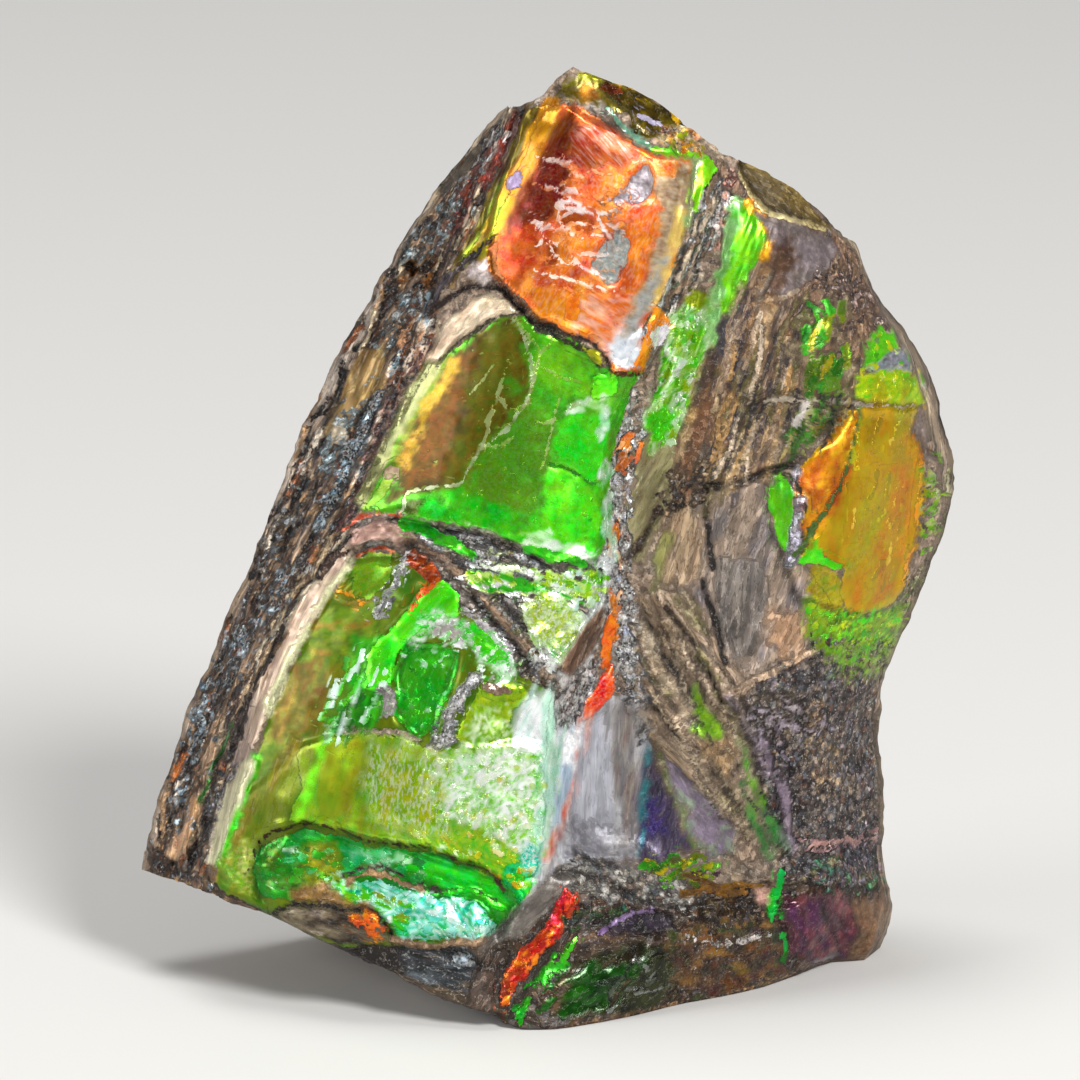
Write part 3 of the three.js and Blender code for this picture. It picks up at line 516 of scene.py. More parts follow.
# The green shell below the belt, with its bowl, its bands down the left and the large plate at its foot.
lowerShell = {
    "ground": area("346,574 396,552 430,584 470,616 520,676 550,690 545,780 540,860 526,892 500,922 430,946 "
        "330,944 286,930 262,912 214,888 216,858 236,802 256,748 290,672 320,612",
        "#4C6600 #607202 #386800 #6E6E08", "silky", size=1.2, grain=70, stretch=0.35),
    "midOlive": area("330,598 372,600 384,640 352,668 318,656 306,640", "#4B6A00 #617F02 #425D00 #6C7F06",
        "silky", size=0.8, blur=5),
    "warmPatch": area("296,664 324,654 334,690 314,730 290,742 270,738 278,700",
        "#5C4804 #68500A #4E5002 #60420C", "silky", size=0.6, grain=70, stretch=0.4, blur=5),
    "deepGreen": area("356,640 384,636 396,660 380,700 372,736 352,732 348,690",
        "#197B06 #30A40C #126206 #43BC13", "silky", size=0.5, grain=72, stretch=0.25, blur=4),
    "limeArch": area("442,578 458,596 460,614 434,620 412,634 398,656 388,690 368,690 366,656 384,634 "
        "404,614 424,592", "#3ED900 #55ED06 #35C000", size=0.6, grain=40, stretch=0.3, lift=0.25),
    "bowl": area("407,641 446,645 458,656 454,678 446,705 436,731 415,736 396,716 394,671",
        "#18820A #2BB411 #1E9D0E #3BD116", size=0.5, grain=72, stretch=0.4, lift=-0.6, edge=9),
    "bowlRimLight": stroke("414,640 432,622 452,622 476,640 506,668", 20, "#58E048 #F8FFF8 #30C818 #A8F098",
        "powdered", size=0.3, share=0.9, blur=5),
    "greyPatch": spot((449, 632), (14, 9), "#8A8480 #B0A8A4 #9C9490", "satin", turn=-10, size=0.5),
    "greenPatch": area("470,624 492,636 506,658 490,664 474,648", "#27C413 #5EED2E", size=0.4),
    "greyOval": spot((385, 700), (11, 17), "#746C6C #948C8C #847C78", "shale", turn=12, size=0.4, lift=-0.1),
    "mortar": [
        stroke("476,678 460,696 450,716 450,738 428,750", 12, "#6A6262 #A8A4A4 #C8C4C4 #5A5450", "crystal",
            size=0.25, blur=1.8),
        chips("462,678 480,680 456,720 452,750 424,752 440,720", 30, (3.5, 8),
            "#F0F0F0 #5A5450 #C8C8D0 #8A8488", 25, "crystal", crevice=0.1),
    ],
    "olivePlate": area("484,688 468,710 456,738 462,750 506,732 514,706 530,696 524,686 504,682",
        "#7CA808 #9CBC14 #6AA004 #B4C83C", size=0.5, lift=0.15),
    "brownEye": spot((498, 689), (14, 7), "#54443A #847060", "glassy", turn=-5, size=0.4),
    # painted highlight: white and pale mint on the right of the lower shell
    "paintedHighlightRight": area("520,702 552,684 560,740 556,800 524,776 506,744", "#A8D8C0 #F0FFF8 #FFFFFF #D8F0E8",
        size=0.4, grain=64, stretch=0.15, blur=8),
    "ledgeTan": stroke("338,730 366,730 400,732 418,738", 7, "#6A5C4C #A0907C", "shale", size=0.3),
    "plateStep": area("296,752 320,739 340,733 400,736 431,748 452,746 500,740 550,745 545,800 538,860 "
        "520,880 470,860 407,842 338,828 303,820 270,832 256,845 240,890 216,870 240,800", "", "", lift=0.22),
    "plate": area("298,754 320,740 340,734 400,737 431,749 460,750 500,742 545,760 540,860 526,892 470,860 "
        "407,842 338,828 303,820 290,822 300,790", "#6F9B03 #87A306 #599F03 #94AF0B", size=0.5, grain=76,
        stretch=0.25),
    "plateGold": area("330,742 360,738 366,776 350,812 322,812 322,770", "#768102 #889409 #6F9002", "silky",
        size=0.5, grain=76, stretch=0.25, blur=5),
    # white frost over green that is also painted highlight, where the plate's right part catches the light
    "plateFrostAndHighlight": area("430,752 500,744 546,752 546,850 530,866 500,834 440,816 424,790",
        "#98D858 #F0FFE8 #78C838 #FFFFFF #E8F8D8 #B8E880", "powdered", size=0.5, grain=30, stretch=0.7,
        blur=9),
    "plateFoot": area("380,826 440,820 500,838 528,868 526,890 470,858 410,842",
        "#59A706 #94B60B #45AF06 #AEBF10", size=0.3, blur=5),
    "plateMint": stroke("547,700 549,750 545,800 538,850", 12, "#88D8B0 #D0F4E0 #50B880", size=0.3, grain=84,
        stretch=0.15, share=0.8, blur=5),
    "limeStreak": stroke("324,742 314,772 302,812", 10, "#68DC08 #84E810", blur=3),
    "olivePale": stroke("304,752 288,782 272,822 258,852", 24, "#5E6C24 #73803F #697534", size=0.6, grain=70,
        stretch=0.15, blur=4),
    "goldBand": stroke("298,740 272,772 254,806 234,842", 16, "#6E7002 #776305 #606E02", "smooth", size=0.6,
        grain=68, stretch=0.15, blur=4),
    "greenBand": stroke("254,756 242,790 230,824 216,858", 12, "#28B004 #40C808 #1C9808", size=0.6, blur=2.5),
    "cornerMix": area("216,858 240,840 256,850 252,896 226,884", "#6C8C18 #A8A868 #58901C #8C8C40", "satin",
        size=0.5, blur=4),
    "rimGreen": area("505,862 530,850 538,860 532,886 516,906 502,906 498,880",
        "#10B818 #18D040 #28C080 #0C9C10", size=0.5, blur=4),
    "tealTip": spot((530, 858), (12, 14), "#28B898 #60D8C0", "frosted", turn=0, blur=4),
    "streaks": [
        splinters("330,664 352,660 392,640 384,700 370,732 318,738", 34, (8, 36), (3, 4.6),
            "#A8E0A8 #E8FCF0 #58C030 #1C6010 #2C8010 #88A080", 21, grain=70, swing=9, share=0.85),
        splinters("270,690 330,664 322,740 256,756", 30, (8, 34), (3, 5.5),
            "#78701C #5C7408 #8A6830 #4C6008 #7A5410 #5C7810", 22, grain=66, swing=16, share=0.4, blur=2.6),
        splinters("300,640 360,590 372,610 330,656", 12, (14, 34), (3, 4.6), "#8A5410 #74740C #5C7C10", 20,
            grain=14, swing=16, share=0.6, blur=2.6),
    ],
    "bowlSpecks": chips("404,646 448,648 452,690 436,728 414,730 400,690", 60, (3.5, 9),
        "#50B040 #A8E0A0 #E8FFF0 #0A6008 #28D020 #30C028", 23, crevice=0, share=0.8),
    "rimSpecks": chips("420,620 446,618 510,656 516,684 486,680 456,650 424,640", 60, (4, 9),
        "#E8FCE8 #58D838 #FFFFFF #28B010 #A8A0A0 #90E070", 24, crevice=0.1),
    "plateSpecks": [
        splinters("330,742 440,752 440,836 330,816", 50, (8, 30), (3.4, 7),
            "#58A010 #B8B418 #A8C050 #98800C #8CC020 #6A7008", 26, grain=80, swing=8, blur=3.5, share=0.5),
        chips("420,752 545,752 544,850 500,836 420,816", 150, (3, 8),
            "#48B010 #B8C828 #FFFFFF #38A818 #F4FFF0 #C8A820 #88D038", 27, long=1.3, share=0.6, crevice=0),
        chips("400,830 500,834 536,866 526,892 470,862", 50, (4, 9),
            "#30A810 #C8C020 #D89020 #A8D030 #F0FCD8", 28, grain=-15, long=1.5, crevice=0, share=0.8),
    ],
    "topMoss": area("470,708 508,712 512,744 462,752", "#88B830 #E8F8D0 #68A018 #D0E8A8", size=0.22, blur=5),
    "plateHaze": area("370,742 440,752 446,824 400,836 366,816", "#8CA810 #B8C018 #68A80C #C8E088 #98A010",
        "powdered", size=0.7, grain=84, stretch=0.45, blur=14, share=0.7),
    "whiteVein": [
        stroke("406,556 400,574 388,592 380,616", 6, "#A8A0A8 #F8F8FC #FFFFFF #C8C4CC", "crystal", size=0.25,
            blur=1.8),
        chips("396,556 410,560 394,600 382,624 372,610", 20, (3.5, 7), "#FFFFFF #5A5456 #C8D8C8 #A8A4A8", 107,
            "crystal"),
    ],
    "lensTop": [
        area("356,562 374,552 392,554 390,578 372,600 352,598", "#4A9808 #7A9810 #58A010 #98981C", size=0.6),
        stroke("354,562 364,552 380,547 394,552", 3.6, "#7A3018 #A05030"),
        stroke("338,592 352,596 364,604", 3.4, "#D08018 #E09828", crevice=0),
        stroke("440,576 426,590 412,608", 4, "#C84810 #E06820"),
    ],
}

# The hollow at the lower left, where the sheet above ends in a lip over teal and green shell.
hollow = {
    "floor": area("252,866 258,846 280,832 304,824 338,832 372,842 430,846 470,862 514,886 520,906 500,936 "
        "440,942 350,944 280,926 256,900", "", "", lift=-0.65, edge=9),
    "shell": area("254,866 260,850 280,838 304,830 338,836 372,846 430,852 470,866 512,888 518,906 500,930 "
        "430,938 398,936 370,905 300,898 262,898", "#0F8408 #169E16 #1E8426 #11910B #279342", size=0.6,
        grain=-12, stretch=0.35, relief=0.12),
    "deepLeft": area("256,862 272,844 300,842 312,862 306,890 262,892",
        "#085C06 #0F8B0D #405815 #189215 #59602A", size=0.5, blur=5),
    "oliveMid": area("306,842 334,846 344,880 326,890 306,880", "#8A7A18 #6C8C20 #A8A050 #5C7C20", size=0.4,
        blur=5),
    "tealHigh": area("340,848 380,848 430,858 430,872 380,866 346,864", "#37A459 #62C386 #85CB9C #22A42C",
        size=0.4, grain=-10, stretch=0.4, blur=5),
    "greenRun": area("400,856 450,862 490,880 512,900 500,906 450,886 410,872", "#10C010 #20E020 #14A81C",
        size=0.5, grain=-18, stretch=0.35, blur=4),
    "tealLow": area("338,884 380,880 420,892 480,900 498,926 480,936 400,936 376,908 346,898",
        "#40B890 #80D8C0 #D0F8F0 #30B060 #A0E8D8", size=0.3, relief=0.1, lift=0.15),
    "specks": [
        chips("264,848 306,840 380,850 440,862 430,876 330,880 264,884", 60, (4, 11),
            "#30C048 #0C5410 #88D8A0 #18841C #D0F0D0 #6A7A30", 31, grain=-12, long=1.7, crevice=0, share=0.8),
        chips("350,888 420,894 480,904 494,926 440,934 380,920", 80, (4, 10),
            "#58D0B8 #E8FFF8 #30A888 #30B048 #A8E8D8 #FFFFFF", 32, grain=-12, long=1.6, crevice=0,
            share=0.85),
        splinters("318,870 350,880 410,900 400,932 366,912 330,896", 30, (6, 24), (3, 5),
            "#38B010 #58C020 #2C7C18 #88A030 #B0E8C0", 33, grain=-30, swing=20),
    ],
    "innerCrack": stroke("344,874 364,867 384,867 402,874 418,884 444,890 474,888 496,898", 3.6,
        "#1C1410 #3C2C20", "shale", lift=-0.1),
    "innerLip": stroke("346,880 366,873 386,874 404,881 424,889", 5, "#7A5C3C #A08460", "shale", lift=0.12),
    "greenLip": stroke("448,892 470,888 490,898 506,910", 6, "#18C010 #38E020", lift=0.15),
    "tanFloor": area("290,884 326,884 350,898 372,906 352,910 310,902 290,898", "#5A4428 #8A6C44 #6C5434",
        "satin", size=0.4, blur=4),
    "lipCrack": stroke("250,868 256,848 264,838 282,830 303,824 322,824 340,830 372,840 407,845 427,845 "
        "452,856 474,864 492,874 504,888", 2.8, "#2A1C12 #4C3624", "smooth", lift=-0.1, crevice=0),
    "undercut": area("292,902 330,904 372,914 392,938 372,942 330,944 290,930 270,916",
        "#1E1814 #463A2C #6C6250 #2A221C", "satin", size=0.5, grain=-15, stretch=0.3, lift=0.1),
    "undercutCrack": stroke("272,916 296,902 330,906 358,908 376,914 392,934", 4, "#140E0A #30221A", "shale",
        lift=-0.3),
    "orangeFlake": chips("350,912 366,910 382,920 390,936 372,938 358,924", 22, (5, 12),
        "#E87010 #F8A048 #B04808 #D86010", 34),
    "darkUnder": area("322,950 370,944 430,944 470,952 492,966 440,972 380,972", "#0E0A0A #241C18", "shale",
        lift=-0.5),
    "greyUnder": [
        area("398,950 440,942 478,954 492,974 450,986 408,976", "#161618 #34383C #50565A #1E1C1C", "layered",
            size=0.5, grain=-15, stretch=0.2),
        spot((464, 958), (14, 8), "#6C7C8A #B8C8D4 #90A0AC", "crystal", turn=-10, size=0.4),
    ],
    "edgeTan": stroke("392,938 430,944 470,940 500,932", 7, "#6A543C #8A7058", "shale", size=0.4, lift=0.15),
}

# The valley right of the ridge: crumbled crystals, shell fragments and the red seam that runs down it.
valleyFill = {
    "grooveField": area("548,690 640,700 650,740 640,860 600,864 560,866 528,900 508,924 530,880 542,830 "
        "544,760", "#938F8F #B1B1B5 #C6C6CA #A09C98 #B5B3B9", "smooth", size=0.5, grain=86, stretch=0.1,
        blur=3),
    "tanField": area("640,440 672,440 668,500 640,560 622,560 618,520 634,480",
        "#6A6048 #98906C #7A7054 #B0A888", "satin", size=0.5, grain=62, stretch=0.2, blur=5),
    "breccia": stroke("716,200 700,240 678,280 640,345 624,380 618,430 610,490 618,540 612,580 618,620 "
        "628,660", 25, "#221C1A #8C8480 #F0ECE8 #4A403A #C0B8B0 #2E2622 #FFFFFF", "crystal", size=0.32,
        relief=0.2, blur=3),
    "brecciaBits": [
        chips("706,176 722,184 700,250 672,306 640,340 676,262", 90, (4, 11),
            "#FFFFFF #C8CCD0 #2A2422 #8A8480 #E8ECF0 #5A4E48 #88B070", 81, "crystal", grain=62, long=1.5),
        chips("606,380 640,370 648,420 636,470 632,560 640,640 626,660 606,640 606,520 606,440", 170, (4, 11),
            "#FFFFFF #C8C4C4 #2A2422 #8A8480 #E8E4E0 #5A4E48 #D0A080 #A0A8C0", 82, "crystal"),
    ],
    "streakWood": splinters("716,176 702,176 676,262 664,340 660,400 672,400 690,330 706,270", 60, (14, 44),
        (3.2, 6), "#5C4A3C #A89884 #2A201C #D8D0C8 #7A6450 #40342C", 83, "shale", grain=66, lift=0.08),
    "sideGreen": area("668,320 690,300 712,300 716,340 704,385 690,410 672,440 650,452 644,420 660,380 "
        "664,350", "#78B840 #B8E090 #58A830 #D8F0C8 #98C860", size=0.35, grain=70, stretch=0.4, blur=5),
    "sideSpecks": chips("668,322 690,304 712,306 704,385 676,440 650,450 646,420 664,370", 100, (4, 11),
        "#FFFFFF #48D010 #A8E878 #E8FCE0 #38A010 #98B840 #A8A8A0", 84, grain=68, long=1.4, crevice=0,
        share=0.85),
    "greenBlob": spot((658, 424), (11, 18), "#38D010 #60E828", turn=-15, blur=5),
    "sideOlive": spot((698, 298), (11, 9), "#98A418 #6C8410", blur=3),
    "orangeBits": [
        splinters("612,440 638,436 640,474 622,480", 7, (10, 26), (4, 8), "#F09050 #F8B890 #E87020 #B05820",
            85, "scratched", grain=70, swing=20, crevice=0.2),
        splinters("606,520 620,516 624,600 612,612", 8, (12, 30), (3, 5),
            "#D88850 #F0C8A8 #C86830 #B89070 #D8D0C8", 86, "scratched", grain=84, swing=10, crevice=0.2),
        stroke("612,592 618,610 614,640", 6, "#C86428 #E09058 #A84C18 #D8B8A0", "scratched", size=0.25),
        chips("732,168 724,168 712,250 720,250", 18, (4, 8), "#D88870 #F0B8A0 #F8E0D8", 87, "crystal",
            blur=3),
    ],
    "greenBand": area("732,200 748,200 762,216 768,238 760,258 746,276 740,300 730,322 720,316 722,280 "
        "728,240", "#6CC438 #90DC48 #58B830 #A4D478", size=0.8, grain=76, stretch=0.5, blur=3, lift=0.1),
    "bandMint": stroke("736,204 728,244 720,290 712,340", 11, "#88C078 #A8D898 #78B068", blur=5, size=0.5),
    "bandGold": stroke("748,202 764,214 772,236 764,258", 8, "#D8B830 #F0A838 #E89020", size=0.4, blur=3),
    "limeWedge": stroke("666,534 660,556 652,588", 9, "#8C9848 #A8B460 #7A8038", "satin", size=0.4, grain=66,
        stretch=0.2, blur=4, share=0.5),
    "diagonal": stroke("658,512 644,538 626,560", 8, "#2E2018 #5A4030", "layered", lift=-0.25),
    "redRun": stroke("612,622 608,640 606,662", 9, "#E84808 #F06818 #F89048", size=0.25),
    "redTongue": area("596,690 602,676 614,664 618,684 610,700 594,716 582,722 584,704",
        "#E83810 #F06030 #D02C08 #F88860", "scratched", size=0.3, lift=0.25),
    "redFade": stroke("588,716 580,748 574,780 560,830 546,856", 10, "#F0A088 #F8C8B8 #E87860 #C8A8A0",
        "scratched", size=0.3, grain=72, stretch=0.2, share=0.8, blur=4),
    "lensCrystal": area("556,690 590,660 604,660 590,700 574,726 552,738 548,716",
        "#1E1A1A #6E6866 #C8C4C4 #382E2A #8A6A38", "crystal", size=0.3, relief=0.2),
    "crystalSide": chips("620,636 646,636 656,740 640,748 620,700", 90, (4, 10),
        "#2E2C30 #7C7C84 #C8C8D0 #4A464A #E8E8EC #6A5A4C", 88, "crystal"),
    "whiteFan": area("548,734 584,726 574,770 560,780 546,770", "#E8ECF0 #FFFFFF #C0CCD8", "satin", size=0.4,
        blur=5),
    "blueFan": area("548,762 572,764 560,820 550,830 546,800", "#A0B4C8 #C0D0DC #7C94A8", "satin", size=0.4,
        grain=80, stretch=0.15, blur=4),
    "groovePlain": area("586,720 606,710 612,760 608,840 596,862 566,860 572,800", "#939398 #B1B1B9 #A2A2A8",
        "smooth", size=0.5, grain=88, stretch=0.08, blur=5),
    "grooveShade": area("612,706 644,704 638,780 632,856 618,850 616,800 612,750",
        "#6C686C #84807C #7A6C68 #8C8C80", "smooth", size=0.4, grain=86, stretch=0.1, blur=5),
    "violet": area("648,724 656,764 672,800 690,846 676,852 650,866 638,862 636,820 642,770",
        "#2A2636 #383044 #44384C #282432", "satin", size=0.6, grain=80, stretch=0.25, blur=5),
    "violetHeart": area("644,796 658,796 662,832 642,840", "#2A2070 #342478", "satin", blur=9, share=0.45),
    "cyanEdge": stroke("650,744 642,800 638,856", 4, "#2C7078 #3C8888", "satin", blur=3, share=0.7),
    "oliveFold": stroke("660,752 672,790 686,822 696,846", 5, "#5C7430 #7C9440", "satin", blur=3, share=0.8),
    "sheen": area("664,752 700,776 728,812 734,850 706,862 694,836 676,794",
        "#6A6068 #84788A #786C78 #7A8C78 #8C7C74", "satin", size=0.5, grain=-60, stretch=0.3, blur=5),
    "pitDark": stroke("576,852 590,862 612,864", 8, "#181210 #3A3230", "shale", lift=-0.3),
    "pools": chips("640,866 676,852 700,852 720,870 716,886 664,884", 50, (5, 12),
        "#2C8C08 #48B810 #1C6808 #80B010 #4A3440 #D0B818 #6A7820", 89, grain=10, long=1.6),
    # painted shade: a grey darkening over the foot of the groove
    "grooveFootShade": area("566,822 634,818 634,866 570,866", "#4A4648 #5E5A5E #6E6A68", "smooth", size=0.5,
        blur=12, share=0.6),
}

# The fan of splinters right of the valley's foot.
fanRibs = {
    "ribs": [
        stroke(path, width, "#574839 #84715E #9C8977 #AB9A86", "banded", size=0.35, grain=turn, stretch=0.08,
               lift=0.22, relief=0.1)
        for path, width, turn in [("660,592 690,622 710,660 728,692", 12, -58),
                                  ("664,622 684,658 708,694 726,722", 10, -58),
                                  ("652,690 680,722 702,746", 10, -50),
                                  ("652,736 680,762 704,784 732,812 744,836", 9, -45)]
    ],
    "slits": [
        stroke(path, 3.4, "#3A2E24 #5A4A3C", "shale", lift=-0.25)
        for path in ["666,606 690,640 708,672 722,700", "656,640 676,676 700,712", "654,704 676,730 698,756"]
    ],
    "runs": splinters("644,600 690,600 728,690 750,760 760,850 740,850 690,770 650,730", 80, (16, 56),
        (3.2, 7), "#8C7A64 #6C5C4A #9C8A74 #76704A #AC9C84 #5A4C3C", 90, "banded", grain=-58, swing=7,
        share=0.7, blur=2.6),
    "apexRidge": stroke("722,694 740,690 768,676 800,660 818,650", 7, "#7A6454 #A89078 #948070", "shale",
        size=0.35, lift=0.3),
    "apexFork": stroke("728,696 744,720 760,752 784,800 796,850", 8, "#6A6068 #948890 #887C80", "shale",
        size=0.35, lift=0.25, share=0.8),
    "greens": splinters("690,682 704,682 722,740 706,748", 8, (10, 24), (5, 9),
        "#70B018 #90C838 #78A048 #5C7438", 91, grain=-62, swing=10, share=0.75, blur=2.6),
    "tanChip": area("700,742 728,734 740,752 730,778 714,770", "#7E6850 #907658 #74604A", "banded", size=0.4,
        blur=4, grain=-60, stretch=0.2),
    "longGreen": splinters("742,750 752,752 770,788 782,830 776,850 760,840 748,800", 14, (18, 50), (4, 8),
        "#2C6C38 #489048 #34643C #58A028 #6A8C50 #5C5648", 92, grain=-68, swing=5, blur=3, share=0.75),
    "plumRun": stroke("760,744 782,792 790,838", 12, "#5A4A58 #7C6C7C #84748A", "satin", size=0.4, grain=-68,
        stretch=0.15, blur=5, share=0.7),
    "thinLines": splinters("650,600 700,620 740,700 770,850 740,850 690,770 655,730", 40, (20, 60),
        (2.8, 3.6), "#2E241C #C0AC94 #4A3C30 #3A3026", 109, "banded", grain=-58, swing=9, share=0.7),
}

